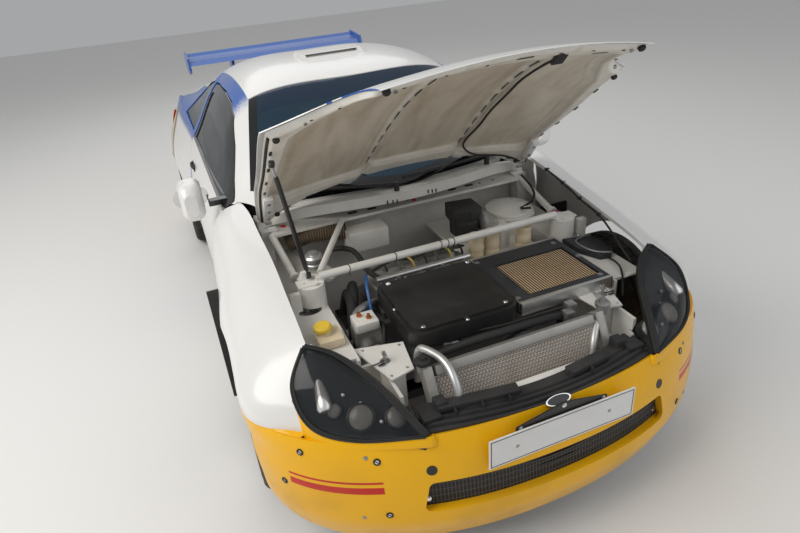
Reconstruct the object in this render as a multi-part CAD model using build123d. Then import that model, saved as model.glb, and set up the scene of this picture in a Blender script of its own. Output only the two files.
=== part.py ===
from build123d import *
import os
from math import atan2, cos, hypot, pi, radians, sin

# Two-door rally coupe with its bonnet open. Millimetres; +X forward, +Y to the car's left, +Z up.
# The origin is on the ground, midway between the ends of the bumpers.

# Driving dimensions
LENGTH = 3984
WHEELBASE = 2446
FRONT_AXLE_X = 1190
REAR_AXLE_X = FRONT_AXLE_X - WHEELBASE
TYRE_R, TYRE_W, RIM_R = 305, 196, 222
AXLE_Z = TYRE_R
WHEEL_Y = 782
ARCH_R = 346
BUMPER_TOP = 563     # at the wings, behind the lamps
WHEELS = {"front_left": (FRONT_AXLE_X, 1), "front_right": (FRONT_AXLE_X, -1),
          "rear_left": (REAR_AXLE_X, 1), "rear_right": (REAR_AXLE_X, -1)}
SIDES = {"left": 1, "right": -1}

SKIN = 14            # bolt-on panels: wings, bumpers
FRAME_WALL = 46      # pillars and roof rails
QUARTER_WALL = 60
DOOR_WALL = 78
ROOF_WALL = 12
GLASS = 5
GAP = 6              # shut lines of doors and lids

BONNET_OPEN = 47.0   # degrees from closed; the part stands with the bonnet up
BONNET_PIVOT = (722, 880)          # x, z
BONNET_SKIN = 4
BONNET_FRAME_DEPTH = 26
TAILGATE_PIVOT = (-893, 1248)      # x, z
DOOR_PIVOT = (548, 842)            # x, |y|
DOOR_SWING_R = 1090                # shut line behind the door, an arc about its hinge
DOOR_FLOOR_Z = 262

STRUT_TOP = (1178, 545, 772)       # top mount of the front suspension leg
BALL_JOINT = (1196, 700, 190)      # lower end of the steering axis


# Curve and solid helpers
def chain(points, tangents):
    """Smooth curves from point to point, each leaving and arriving along the given directions."""
    edges = []
    for (p, q), (a, b) in zip(zip(points, points[1:]), zip(tangents, tangents[1:])):
        reach = (q - p).length / 3
        edges.append(Edge.make_bezier(p, p + a.normalized() * reach, q - b.normalized() * reach, q))
    return edges


def strip(flat_points, flat_tangents, wall, place):
    """Closed thin section: the outer chain in a section plane, and the same chain moved in by the wall."""
    outer = [Vector(u, v, 0) for u, v in flat_points]
    slopes = [Vector(u, v, 0).normalized() for u, v in flat_tangents]
    inner = [p + Vector(-s.Y, s.X, 0) * wall for p, s in zip(outer, slopes)]
    outer, inner = [[place(p.X, p.Y) for p in row] for row in (outer, inner)]
    zero = place(0, 0)
    slopes = [place(s.X, s.Y) - zero for s in slopes]
    edges = chain(outer, slopes)
    edges.append(Edge.make_line(outer[-1], inner[-1]))
    edges += chain(inner[::-1], [s * -1 for s in slopes[::-1]])
    edges.append(Edge.make_line(inner[0], outer[0]))
    return Wire(edges)


def across(x):
    """Section plane across the car at x: u is y and v is z."""
    return lambda u, v: Vector(x, u, v)


def fan(centre_x, angle):
    """Upright section plane through a centre on the car's axis: u is the radius and v is z."""
    return lambda u, v: Vector(centre_x + u * cos(angle), u * sin(angle), v)


def plan_prism(points, z0, z1, radius=0):
    """Prism standing on an outline drawn from above."""
    line = FilletPolyline(*points, radius=radius, close=True)
    return Pos(0, 0, z0) * extrude(make_face(line), z1 - z0, dir=(0, 0, 1))


def side_prism(points, y0, y1, radius=0):
    """Prism through the car, on an outline drawn from the side in x and z."""
    line = FilletPolyline(*points, radius=radius, close=True)
    return Pos(0, y0, 0) * extrude(Plane.XZ * make_face(line), y1 - y0, dir=(0, 1, 0))


def end_prism(points, x0, x1, radius=0):
    """Prism along the car, on an outline drawn from its end in y and z."""
    line = FilletPolyline(*points, radius=radius, close=True)
    return Pos(x0, 0, 0) * extrude(Plane.YZ * make_face(line), x1 - x0, dir=(1, 0, 0))


def block(x0, x1, y0, y1, z0, z1):
    return Pos((x0 + x1) / 2, (y0 + y1) / 2, (z0 + z1) / 2) * Box(abs(x1 - x0), abs(y1 - y0), abs(z1 - z0))


def rod(start, end, radius, bore=0):
    """Round bar or tube between two points."""
    start, end = Vector(*start), Vector(*end)
    plane = Plane(origin=start, z_dir=end - start)
    face = Circle(radius) - Circle(bore) if bore else Circle(radius)
    return extrude(plane * face, (end - start).length)


def bent_tube(points, bend, radius):
    """Round tube along straight runs joined by tangent arcs."""
    path = FilletPolyline(*points, radius=bend)
    return sweep(Plane(origin=path @ 0, z_dir=path % 0) * Circle(radius), path=path)


def wheel_cylinder(axle_x, radius, y0, y1):
    return Pos(axle_x, (y0 + y1) / 2, AXLE_Z) * Rot(90, 0, 0) * Cylinder(radius, abs(y1 - y0))


def flipped(shape):
    return mirror(shape, about=Plane.XZ)


def largest(shape, least=20000):
    """The shape without the crumbs that trimming leaves."""
    return Compound([s for s in shape.solids() if s.volume > least])


def both_sides(shape):
    shape = largest(shape)
    return Compound([*shape.solids(), *flipped(shape).solids()])


# Body surfaces
# x, sill (y, z), widest (y, z), crown (y, z), edge beside the bonnet (y, z)
WING_SECTIONS = [
    (470, (800, 200), (838, 520), (750, 890), (690, 906)),
    (620, (800, 200), (843, 540), (750, 884), (668, 900)),
    (800, (808, 210), (860, 575), (752, 862), (658, 884)),
    (990, (824, 240), (880, 600), (756, 826), (654, 862)),
    (1190, (842, 300), (888, 612), (758, 792), (652, 832)),
    (1380, (846, 280), (888, 606), (756, 752), (652, 800)),
    (1540, (838, 240), (882, 578), (748, 706), (640, 768)),
    (1650, (770, 230), (790, 553), (738, 640), (640, 712)),
    (1720, (700, 230), (722, 553), (700, 600), (640, 655)),
]
# x, sill (y, z), widest (y, z), waist (y, z)
SIDE_SECTIONS = [
    (640, (800, 200), (844, 540), (750, 884)),
    (470, (800, 200), (838, 520), (750, 890)),
    (150, (800, 200), (838, 515), (751, 905)),
    (-200, (800, 200), (838, 515), (752, 920)),
    (-550, (802, 200), (840, 525), (753, 937)),
    (-850, (815, 210), (856, 560), (754, 951)),
    (-1060, (832, 250), (880, 600), (755, 959)),
    (-1256, (842, 300), (890, 612), (754, 965)),
    (-1450, (838, 280), (886, 605), (750, 968)),
    (-1640, (800, 240), (842, 590), (728, 966)),
]
# x, waist (y, z), roof rail (y, z), roof centre z
ROOF_SECTIONS = [
    (850, (752, 862), (650, 878), 912),
    (720, (751, 876), (655, 890), 988),
    (610, (750, 884), (668, 898), 1052),
    (480, (750, 890), (634, 990), 1128),
    (330, (750, 897), (586, 1106), 1216),
    (190, (751, 903), (546, 1204), 1290),
    (60, (751, 909), (531, 1238), 1313),
    (-150, (752, 918), (527, 1252), 1322),
    (-420, (752, 930), (525, 1242), 1313),
    (-680, (753, 943), (524, 1212), 1286),
    (-900, (754, 952), (524, 1166), 1243),
    (-1120, (755, 960), (532, 1100), 1160),
    (-1320, (754, 966), (552, 1036), 1078),
    (-1500, (746, 968), (590, 992), 1008),
    (-1660, (722, 964), (610, 968), 975),
    (-1740, (700, 955), (612, 957), 960),
]
# x, centre z, z at |y| = 650
BONNET_SECTIONS = [
    (600, 930, 902), (850, 908, 880), (1100, 881, 850), (1350, 843, 808), (1550, 796, 762),
    (1700, 746, 690), (1820, 692, 600), (1900, 641, 513), (1965, 585, 430),
]
# The nose, tail and boot run round in plan as rounded ovals: each level gives its height at the middle and
# at the ends of the sweep, its reach beyond the base line, and its half width on the base line
OVAL_BASE_X = 1400
OVAL_REACH = LENGTH / 2 - OVAL_BASE_X
NOSE = {"centre_x": 1300, "base_x": OVAL_BASE_X, "sweep": 84, "levels": [
    (165, 190, 552, 870), (280, 298, OVAL_REACH, 889), (460, 450, 576, 891), (588, 551, 534, 889)]}
TAIL = {"centre_x": -1250, "base_x": -OVAL_BASE_X, "sweep": 84, "levels": [
    (215, 228, 555, 868), (400, 412, OVAL_REACH, 891), (618, 618, 583, 888)]}
BOOT = {"centre_x": -1250, "base_x": -OVAL_BASE_X, "sweep": 72, "levels": [
    (624, 624, 560, 889), (958, 952, 338, 816)]}
OVAL_POWER = 2.2
WING_TANGENTS = [(0.30, 1), (0, 1), (-0.86, 0.50), (-1, 0.28)]
SIDE_TANGENTS = [(0.30, 1), (0, 1), (-0.42, 1)]


def wing_loft(wall):
    wires = [strip(row[1:], WING_TANGENTS, wall, across(row[0])) for row in WING_SECTIONS]
    return Solid.make_loft(wires)


def side_loft(wall):
    wires = [strip(row[1:], SIDE_TANGENTS, wall, across(row[0])) for row in SIDE_SECTIONS]
    return Solid.make_loft(wires)


def roof_loft(wall, inset=0):
    """Whole upper body from waist to waist; the inset sinks it below the outer surface."""
    wires = []
    for x, (waist_y, waist_z), (rail_y, rail_z), top in ROOF_SECTIONS:
        lean = (rail_y - waist_y, rail_z - waist_z)
        turn = (-1, 0.62)
        rail = (rail_y - inset * 0.6, rail_z - inset * 0.8)
        half = [(waist_y - inset, waist_z - 8), rail, (0, top - inset)]
        points = half + [(-u, v) for u, v in half[1::-1]]
        tangents = [lean, turn, (-1, 0), (-1, -0.62), (lean[0], -lean[1])]
        wires.append(strip(points, tangents, wall, across(x)))
    return Solid.make_loft(wires)


def bonnet_loft(wall, inset=0):
    """Bonnet surface, wider than the bonnet, as one arc across each section."""
    wires = []
    half = 650
    for x, top, edge in BONNET_SECTIONS:
        rows = []
        for depth in (inset, inset + wall):
            rows.append([Vector(x, y, z - depth) for y, z in ((-half, edge), (0, top), (half, edge))])
        (a, b, c), (d, e, f) = rows
        wires.append(Wire([Edge.make_three_point_arc(a, b, c), Edge.make_line(c, f),
                           Edge.make_three_point_arc(f, e, d), Edge.make_line(d, a)]))
    return Solid.make_loft(wires)


def oval_radius(shape, angle, reach, half_width):
    """Distance from the sweep's centre to the oval, by halving."""
    low, high = 0.0, 1500.0
    ahead = abs(shape["base_x"] - shape["centre_x"])
    for _ in range(40):
        r = (low + high) / 2
        x = max(r * cos(angle) - ahead, 0) / reach
        inside = x ** OVAL_POWER + abs(r * sin(angle) / half_width) ** OVAL_POWER < 1
        low, high = (r, high) if inside else (low, r)
    return low


def oval_loft(shape, tangents, wall, stations):
    """Thin skin swept round the oval from one side of the car to the other."""
    wires = []
    facing = 1 if shape["base_x"] > 0 else -1
    for k in range(-stations, stations + 1):
        share = k / stations
        angle = radians(share * shape["sweep"])
        points = [(oval_radius(shape, angle, reach, width), middle + (side - middle) * share ** 2)
                  for middle, side, reach, width in shape["levels"]]
        swept = angle if facing > 0 else pi - angle
        wires.append(strip(points, tangents, wall, fan(shape["centre_x"], swept)))
    return Solid.make_loft(wires)


def nose_loft(wall):
    return oval_loft(NOSE, [(0.34, 1), (0.05, 1), (-0.14, 1), (-0.45, 1)], wall, 7)


def tail_loft(wall):
    return oval_loft(TAIL, [(0.3, 1), (0.02, 1), (-0.14, 1)], wall, 6)


def boot_loft(wall):
    return oval_loft(BOOT, [(-0.22, 1), (-0.80, 0.9)], wall, 6)


# Outlines in plan, reused by the panels that meet on them
def arc_face(edges):
    return make_face(Wire(edges))


def bonnet_outline(grow=0):
    rear, front = 885, 1950
    edges = [Edge.make_three_point_arc((690, 640), (rear, 0), (690, -640)),
             Edge.make_line((690, -640), (1530, -650)),
             Edge.make_three_point_arc((1530, -650), (1682, -483), (1895, -405)),
             Edge.make_three_point_arc((1895, -405), (front, 0), (1895, 405)),
             Edge.make_three_point_arc((1895, 405), (1682, 483), (1530, 650)),
             Edge.make_line((1530, 650), (690, 640))]
    face = arc_face(edges)
    corners = face.vertices().sort_by(Axis.X)[:2]
    face = fillet(corners, 40)
    return offset(face, grow) if grow else face


def screen_outline(grow=0):
    edges = [Edge.make_three_point_arc((572, 622), (830, 0), (572, -622)),
             Edge.make_line((572, -622), (168, -500)),
             Edge.make_three_point_arc((168, -500), (216, 0), (168, 500)),
             Edge.make_line((168, 500), (572, 622))]
    face = arc_face(edges)
    return offset(face, grow) if grow else face


def rise(face, z0, z1):
    """Prism on a face drawn in plan."""
    return Pos(0, 0, z0) * extrude(face, z1 - z0, dir=(0, 0, 1))


LAMP_PLAN = [(1538, 668), (1592, 576), (1680, 507), (1800, 446), (1896, 403), (1899, 425),
             (1818, 612), (1728, 722), (1634, 744), (1578, 714)]

# Panels
parts = {}
arch_front = wheel_cylinder(FRONT_AXLE_X, ARCH_R, -1000, 1000)
arch_rear = wheel_cylinder(REAR_AXLE_X, ARCH_R, 640, 1000)
lamp_hole = plan_prism(LAMP_PLAN, 535, 900)
bonnet_hole = rise(bonnet_outline(6), 350, 1000)

wing = wing_loft(SKIN) - arch_front - lamp_hole - bonnet_hole - block(400, 573, 500, 1000, 150, 950)
wing -= block(1420, 1800, 500, 1000, 150, BUMPER_TOP + 2)
parts["front_wings"] = both_sides(wing)

bumper = nose_loft(SKIN) - arch_front - lamp_hole - flipped(lamp_hole)
bumper -= block(1200, 1420, -1000, 1000, 150, 620)
mouth = end_prism([(-455, 322), (455, 322), (430, 432), (-430, 432)], 1700, 2100, 22)
bumper -= mouth
for side in (1, -1):
    bumper -= rod((1700, side * 372, 405), (2000, side * 372, 405), 16)
parts["front_bumper"] = bumper

# Front grilles: the black upper panel behind the bumper's top edge, and the slatted lower mouth
upper = Pos(0, 0, 552) * extrude(arc_face([
    Edge.make_three_point_arc((1838, 400), (1912, 0), (1838, -400)),
    Edge.make_line((1838, -400), (1782, -340)),
    Edge.make_three_point_arc((1782, -340), (1842, 0), (1782, 340)),
    Edge.make_line((1782, 340), (1838, 400))]), 24, dir=(0, 0, 1))
grille = [upper]
for row in range(4):
    z = 334 + row * 28
    grille.append(Pos(0, 0, z) * extrude(arc_face([
        Edge.make_three_point_arc((1842, 420), (1962, 0), (1842, -420)),
        Edge.make_line((1842, -420), (1822, -420)),
        Edge.make_three_point_arc((1822, -420), (1942, 0), (1822, 420)),
        Edge.make_line((1822, 420), (1842, 420))]), 8, dir=(0, 0, 1)))
for y in (-300, -100, 100, 300):
    x = 1942 - 795 + (795 ** 2 - y * y) ** 0.5
    grille.append(block(x - 14, x + 6, y - 9, y + 9, 318, 560))
grille_solid = grille[0]
for piece in grille[1:]:
    grille_solid += piece
parts["grille"] = grille_solid - bumper

parts["number_plate"] = block(1974, 1978, -260, 260, 458, 569) - bumper

# Headlamps: clear cover over a dark unit with two round reflectors
LAMP_ROWS = [  # inner edge, middle, outer edge
    ((1546, 661, 774), (1550, 667, 775), (1553, 673, 771)),
    ((1594, 582, 747), (1612, 664, 748), (1632, 738, 696)),
    ((1681, 513, 706), (1714, 622, 690), (1722, 716, 604)),
    ((1801, 452, 650), (1820, 540, 632), (1812, 606, 580)),
    ((1890, 410, 594), (1893, 415, 592), (1894, 421, 587)),
]


def lamp_loft(depth, wall, shrink=0):
    wires = []
    push = Vector(-0.42, -0.36, -0.83)
    for row, (a, m, b) in enumerate(LAMP_ROWS):
        a, m, b = Vector(*a), Vector(*m), Vector(*b)
        if row in (0, len(LAMP_ROWS) - 1):
            m = (a + b) * 0.5 - push * 1.5
        c = (a + b) * 0.5
        a, m, b = [p + (c - p) * shrink for p in (a, m, b)]
        top = [p + push * depth for p in (a, m, b)]
        low = [p + push * (depth + wall) for p in (a, m, b)]
        wires.append(Wire([Edge.make_three_point_arc(*top), Edge.make_line(top[2], low[2]),
                           Edge.make_three_point_arc(*low[::-1]), Edge.make_line(low[0], top[0])]))
    return Solid.make_loft(wires)


lens = lamp_loft(2, 4)
unit = lamp_loft(6, 92)
bowl_axis = Vector(0.62, 0.30, 0.42).normalized()
for centre, radius in (((1668, 622, 676), 62), ((1772, 548, 632), 50)):
    mouth_plane = Plane(origin=Vector(*centre) - bowl_axis * 34, z_dir=bowl_axis)
    unit -= extrude(mouth_plane * Circle(radius), 120)
parts["headlamp_lenses"] = both_sides(lens)
unit -= block(1400, 1950, 300, 800, 100, 552)
parts["headlamp_units"] = both_sides(largest(unit - wing - bumper - grille_solid))

# Cab
screen_hole = rise(screen_outline(), 850, 1400)
glass_shell = roof_loft(GLASS, 3)
parts["windscreen"] = glass_shell & screen_hole

frame_shell = roof_loft(FRAME_WALL)
roof_plan = arc_face([
    Edge.make_three_point_arc((166, 505), (214, 0), (166, -505)), Edge.make_line((166, -505), (-887, -505)),
    Edge.make_line((-887, -505), (-887, 505)), Edge.make_line((-887, 505), (166, 505))])
roof_block = rise(roof_plan, 1000, 1400)
screen_cut = rise(screen_outline(2), 850, 1400)
roof_panel = (roof_loft(ROOF_WALL) & roof_block) - screen_cut
vent = loft([Pos(-235, 0, 1318) * Rectangle(90, 350), Pos(-235, 0, 1345) * Rectangle(56, 318)])
vent += loft([Pos(-150, 0, 1316) * Rectangle(180, 344), Pos(-165, 0, 1350) * Rectangle(90, 322)])
vent -= block(-160, -40, -140, 140, 1334, 1346)
roof_panel += vent - block(-400, 100, -200, 200, 1250, 1316)
parts["roof_panel"] = roof_panel

# Side of the cab in x and z: the line under the cant rail, from the foot of the screen pillar rearwards
RAIL_LINE = [(560, 905), (470, 968), (330, 1079), (190, 1176), (60, 1211), (-150, 1226), (-420, 1216),
             (-680, 1186), (-900, 1138), (-1060, 1090)]
side_hole = side_prism(RAIL_LINE + [(-1060, 960), (-1000, 900), (560, 860)], 400, 900)
WAIST_LINE = [(700, 880), (470, 886), (150, 901), (-200, 916), (-550, 933), (-850, 947), (-1060, 955),
              (-1256, 961), (-1450, 964), (-1640, 962)]
above_waist = side_prism(WAIST_LINE + [(-1640, 1500), (700, 1500)], 400, 1000)
quarter_low = side_loft(QUARTER_WALL) - above_waist
hoop = frame_shell & block(-900, 700, 505, 800, 860, 1400)
b_pillar = frame_shell & side_prism([(-548, 930), (-548, 1300), (-604, 1300), (-604, 930)], 400, 900)
hoop = hoop - side_hole - screen_cut - rise(bonnet_outline(12), 700, 1000)
hoop -= block(500, 573, 400, 900, 800, 898)
hoop -= block(573, 700, 400, 900, 850, 905)
hoop += b_pillar
hoop = hoop - roof_block - quarter_low
parts["roof_rails"] = both_sides(hoop)

# Doors
door_axis = Pos(DOOR_PIVOT[0], DOOR_PIVOT[1], 600)
inside_swing = door_axis * Cylinder(DOOR_SWING_R, 1500)
inside_aperture = door_axis * Cylinder(DOOR_SWING_R + GAP, 1500)
door_skin = side_loft(DOOR_WALL) & inside_swing & block(-700, 567, 500, 1000, DOOR_FLOOR_Z, 1000)
cavity = (side_loft(DOOR_WALL - 14) - side_loft(12)) & side_prism(
    [(470, 330), (470, 790), (-400, 830), (-440, 330)], 500, 1000, 40)
door_shell = (door_skin - above_waist) - cavity
window_top = [(x, z - 8) for x, z in RAIL_LINE if x > -500]
door_frame = roof_loft(30, 2) & inside_swing
door_frame &= side_prism([(548, 880)] + [(x - 4, z) for x, z in window_top[:1]] + window_top[1:]
                         + [(-526, 1193), (-526, 880)], 400, 900)
WINDOW = [(440, 905), (330, 1030), (190, 1128), (60, 1166), (-150, 1182), (-420, 1172), (-500, 1160),
          (-500, 920)]
window_hole = side_prism(WINDOW, 400, 900)
door_frame -= window_hole
door_frame &= above_waist
door_pane = roof_loft(GLASS, 8) & side_prism(WINDOW, 400, 900)
mirror_arm = block(462, 500, 690, 800, 882, 906)
MIRROR_Z = 925
MIRROR_ROWS = [  # x, y of the middle, width, height, corner radius
    (455, 865, 172, 98, 36), (500, 865, 170, 96, 36), (545, 868, 150, 84, 36), (572, 872, 96, 50, 24)]
mirror_faces = [Plane(origin=(x, y, MIRROR_Z), z_dir=(1, 0, 0)) * RectangleRounded(width, height, corner)
                for x, y, width, height, corner in MIRROR_ROWS]
mirror_head = loft(mirror_faces[:2]) + loft(mirror_faces[1:])
door = door_shell + (door_frame - door_shell)
door = door - (block(-700, 700, 500, 1000, 200, 1300) - inside_swing)
mirror_body = mirror_head + (mirror_arm - door)
door_all = door + mirror_body
parts["door_left"] = door_all
parts["door_right"] = flipped(door_all)
parts["door_glass_left"] = door_pane - door_all
parts["door_glass_right"] = flipped(door_pane - door_all)

# Rear quarters, with the pillar behind the quarter glass
TAIL_SEAM_X = -1562
quarter = quarter_low - inside_aperture - arch_rear
quarter &= block(TAIL_SEAM_X, 0, 500, 1000, 256, 1000)
quarter -= block(-1700, -1256, 500, 1000, 200, 624)
lid_front = TAILGATE_PIVOT[0]
tailgate_line = [(lid_front, 505), (lid_front - 3, 520), (-1120, 532), (-1300, 545), (-1480, 562),
                 (-1700, 562), (-1700, 0), (lid_front, 0)]
tailgate_plan = plan_prism(tailgate_line, 600, 1400)
rear_pillar = frame_shell & block(TAIL_SEAM_X, -604, 400, 900, 900, 1300)
rear_pillar = rear_pillar - side_hole - tailgate_plan
rear_pillar -= block(-900, -604, 400, 900, 990, 1400)
rear_pillar &= above_waist
quarter = quarter + rear_pillar
parts["rear_quarters"] = both_sides(quarter)
parts["quarter_glass"] = both_sides(
    (roof_loft(GLASS, 6) & side_prism([(-607, 944), (-607, 1192), (-680, 1184), (-900, 1136), (-1056, 1088),
                                       (-1056, 962)], 400, 900)) - hoop - quarter)

sill = side_loft(QUARTER_WALL) & block(-905, 567, 500, 1000, 190, 252)
sill -= arch_rear
parts["sills"] = both_sides(sill)

# Tail
parts["rear_bumper"] = (tail_loft(SKIN) - arch_rear - flipped(arch_rear)
                        - block(-1400, -1000, -1000, 1000, 100, 700))
boot = boot_loft(40)
corner = (boot & block(-2100, TAIL_SEAM_X, 562, 1000, 624, 1000)) - block(-2100, 0, 566, 846, 664, 872)
lamp = boot_loft(30) & block(-2100, TAIL_SEAM_X, 568, 844, 666, 870)
roof_corner = frame_shell & plan_prism(
    [(TAIL_SEAM_X, 562), (TAIL_SEAM_X, 716), (-1622, 610), (-1646, 562)], 900, 1010)
corner += roof_corner - boot
parts["tail_corners"] = both_sides(corner)
parts["tail_lamps"] = both_sides(lamp - corner)


# Tailgate with its glass and the wing on it
lid_half = [(-899, 499), (-1120, 526), (-1300, 539), (-1480, 556), (-1648, 556)]
lid_edges = [Edge.make_line(Vector(*a), Vector(*b)) for a, b in zip(lid_half, lid_half[1:])]
lid_edges += [Edge.make_three_point_arc((-1648, 556), (-1737, 0), (-1648, -556))]
lid_half = [(x, -y) for x, y in lid_half[::-1]]
lid_edges += [Edge.make_line(Vector(*a), Vector(*b)) for a, b in zip(lid_half, lid_half[1:])]
lid_edges += [Edge.make_line((-899, -499), (-899, 499))]
lid_plan = rise(arc_face(lid_edges), 600, 1400)
PANE = [(-948, 448), (-1150, 470), (-1350, 488), (-1440, 486), (-1440, -486), (-1350, -488), (-1150, -470),
        (-948, -448)]
pane_hole = plan_prism(PANE, 900, 1400, 18)
lid = (roof_loft(38) & lid_plan) - pane_hole
lid += boot_loft(38) & block(-2100, -1560, -556, 556, 634, 1000)
parts["tailgate"] = lid
parts["rear_glass"] = roof_loft(GLASS, 3) & pane_hole
PLANE_OUTLINE = [(-1520, 1150), (-1566, 1176), (-1640, 1178), (-1716, 1186), (-1742, 1204), (-1750, 1198),
                 (-1722, 1166), (-1640, 1150), (-1560, 1140)]
END_OUTLINE = [(-1506, 1128), (-1536, 1200), (-1772, 1216), (-1784, 1100), (-1640, 1082), (-1560, 1092)]
SUPPORT = [(-1545, 900), (-1560, 1150), (-1690, 1158), (-1700, 900)]
wing_plane = side_prism(PLANE_OUTLINE, -628, 628)
for side in (1, -1):
    wing_plane += side_prism(END_OUTLINE, min(side * 624, side * 640), max(side * 624, side * 640), 12)
    support = side_prism(SUPPORT, side * 330 - 9, side * 330 + 9)
    support -= roof_loft(200) & block(-1800, -1400, -600, 600, 700, 1100)
    wing_plane += support - block(-1800, -1500, -400, 400, 800, 962)
parts["rear_wing"] = wing_plane - lid

# Screen edge: scuttle between the bonnet and the windscreen, with slots
scuttle_band = arc_face([
    Edge.make_three_point_arc((640, 640), (830, 0), (640, -640)), Edge.make_line((640, -640), (720, -640)),
    Edge.make_three_point_arc((720, -640), (905, 0), (720, 640)), Edge.make_line((720, 640), (640, 640))])
scuttle = bonnet_loft(44, -8) & rise(screen_outline() + scuttle_band, 800, 960)
scuttle -= rise(bonnet_outline(12), 700, 1100)
scuttle -= rise(offset(screen_outline(), -34), 700, 1100)
scuttle -= roof_loft(60, -56) - block(-2000, 2000, -900, 900, 0, 800)
scuttle = scuttle - parts["windscreen"] - parts["roof_rails"]
parts["scuttle_panel"] = largest(scuttle)

# Floor, bulkhead and inner wings
floor = block(-900, 655, -739, 739, 200, 214) + block(-700, 655, -120, 120, 214, 330)
floor += block(-1560, -900, -500, 500, 330, 344) + block(-905, -891, -700, 700, 200, 344)
floor += block(-1700, -1560, -560, 560, 330, 344) + block(-1660, -1600, -560, 560, 240, 330)
floor -= both_sides(quarter) + both_sides(sill)
parts["floor_pan"] = floor
bulkhead = block(655, 667, -739, 739, 200, 852) - block(655, 667, -120, 120, 200, 330)
bulkhead += block(667, 790, -596, 596, 800, 812)
bulkhead += block(640, 655, -736, 736, 700, 760)
parts["bulkhead"] = bulkhead - both_sides(wing) - both_sides(hoop) - floor - parts["scuttle_panel"]

inner = block(667, 1575, 500, 510, 330, 676)
inner += block(667, 1560, 500, 636, 666, 677)
inner += Pos(STRUT_TOP[0], STRUT_TOP[1], 724) * Cylinder(50, 96)
inner += block(1198, 1222, 596, 634, 677, 762)
inner += block(1575, 1760, 430, 442, 330, 640) + block(1563, 1575, 430, 510, 330, 644)
inner += block(690, 752, 596, 636, 677, 816)
inner -= Pos(STRUT_TOP[0], STRUT_TOP[1] + 6, 716) * Cylinder(36, 82)
inner -= Pos(STRUT_TOP[0], STRUT_TOP[1] + 24, 676) * Cylinder(62, 30)
inner = inner - bulkhead - parts["headlamp_units"] - parts["scuttle_panel"] - bumper
parts["inner_wings"] = both_sides(inner - wing)
brace = rod((1178, -508, 790), (1178, 508, 790), 15)
brace += block(1150, 1206, 500, 596, 772, 778) + block(1150, 1206, -596, -500, 772, 778)
brace += block(1166, 1190, 490, 524, 778, 792) + block(1166, 1190, -524, -490, 778, 792)
brace += rod((1150, -500, 788), (800, -300, 812), 12)
parts["strut_brace"] = brace - parts["inner_wings"] - parts["bulkhead"]

# Front crossmember, with the four bonnet-pin plates over the lamps and a bar below the radiator
CATCH_PLATES = {-1: [(1481, -497), (1520, -331), (1669, -355), (1690, -440)],
                1: [(1481, 497), (1520, 331), (1669, 355), (1690, 440)]}
CATCH_Z = 650
member = block(1740, 1772, -428, 428, 470, 506)
for side, points in CATCH_PLATES.items():
    member += plan_prism(points, CATCH_Z, CATCH_Z + 6)
    member += block(1640, 1656, min(side * 380, side * 428), max(side * 380, side * 428), 500, CATCH_Z)
    member += block(1640, 1772, min(side * 400, side * 428), max(side * 400, side * 428), 476, 520)
member -= parts["inner_wings"]
member -= parts["headlamp_units"]
member -= parts["headlamp_lenses"]
parts["front_member"] = largest(member)

radiator_place = Pos(1700, 0, 632) * Rot(0, 150, 0)
radiator = radiator_place * (Pos(0, 0, 134) * Box(34, 616, 268))
radiator += radiator_place * (Pos(0, 0, -10) * Box(40, 632, 22))
for side in (1, -1):
    radiator += radiator_place * (Pos(-2, side * 325, 122) * Box(44, 34, 286))
shroud = radiator_place * (Pos(35, 0, 130) * Box(36, 560, 240))
shroud -= radiator_place * (Pos(35, 0, 130) * Rot(0, 90, 0) * Cylinder(104, 60))
radiator += shroud
parts["radiator"] = radiator - member - grille_solid
pipes = bent_tube([(1596, -318, 540), (1596, -318, 680), (1722, -264, 684), (1806, -266, 606),
                   (1806, -266, 540)], 26, 13)
pipes += bent_tube([(1700, 330, 480), (1660, 340, 590), (1600, 400, 622), (1500, 408, 622)], 26, 13)
parts["radiator_pipes"] = pipes - parts["radiator"] - member - parts["grille"]

# Engine, gearbox and the box over them
engine = block(1020, 1330, -330, 210, 320, 610) + block(1060, 1300, -320, 200, 610, 640)
engine += block(1040, 1320, 210, 440, 300, 520) + block(1330, 1480, -260, 120, 430, 560)
parts["engine_block"] = engine
cover = plan_prism([(1206, -318), (1206, 96), (1584, 96), (1584, -318)], 648, 706, 52)
cover += plan_prism([(1222, -302), (1222, 80), (1568, 80), (1568, -302)], 706, 716, 40)
cover += block(1240, 1320, -250, 40, 640, 648)
parts["airbox_cover"] = cover
tray = plan_prism([(1194, 98), (1194, 488), (1574, 488), (1574, 98)], 652, 700, 20)
tray -= plan_prism([(1304, 134), (1304, 456), (1556, 456), (1556, 134)], 680, 700, 10)
tray += block(1220, 1300, 100, 200, 640, 652)
for row in range(10):
    x = 1318 + row * 24.5
    tray += block(x, x + 12, 138, 452, 680, 696)
parts["filter_tray"] = tray - cover - parts["front_member"] - parts["inner_wings"]

tanks = Pos(1118, 168, 700) * Cylinder(32, 120) + Pos(1122, 240, 700) * Cylinder(32, 120)
tanks += Pos(1424, -575, 704) * Cylinder(26, 54) + block(1380, 1475, -600, -512, 681, 691)
tanks += Pos(1146, 376, 704) * Cylinder(34, 112) + block(790, 886, -300, -125, 690, 776)
tanks += block(700, 1184, 130, 450, 640, 652) + block(667, 800, -290, -140, 690, 704)
tanks -= engine
parts["fluid_reservoirs"] = tanks - parts["bulkhead"] - parts["inner_wings"]

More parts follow.
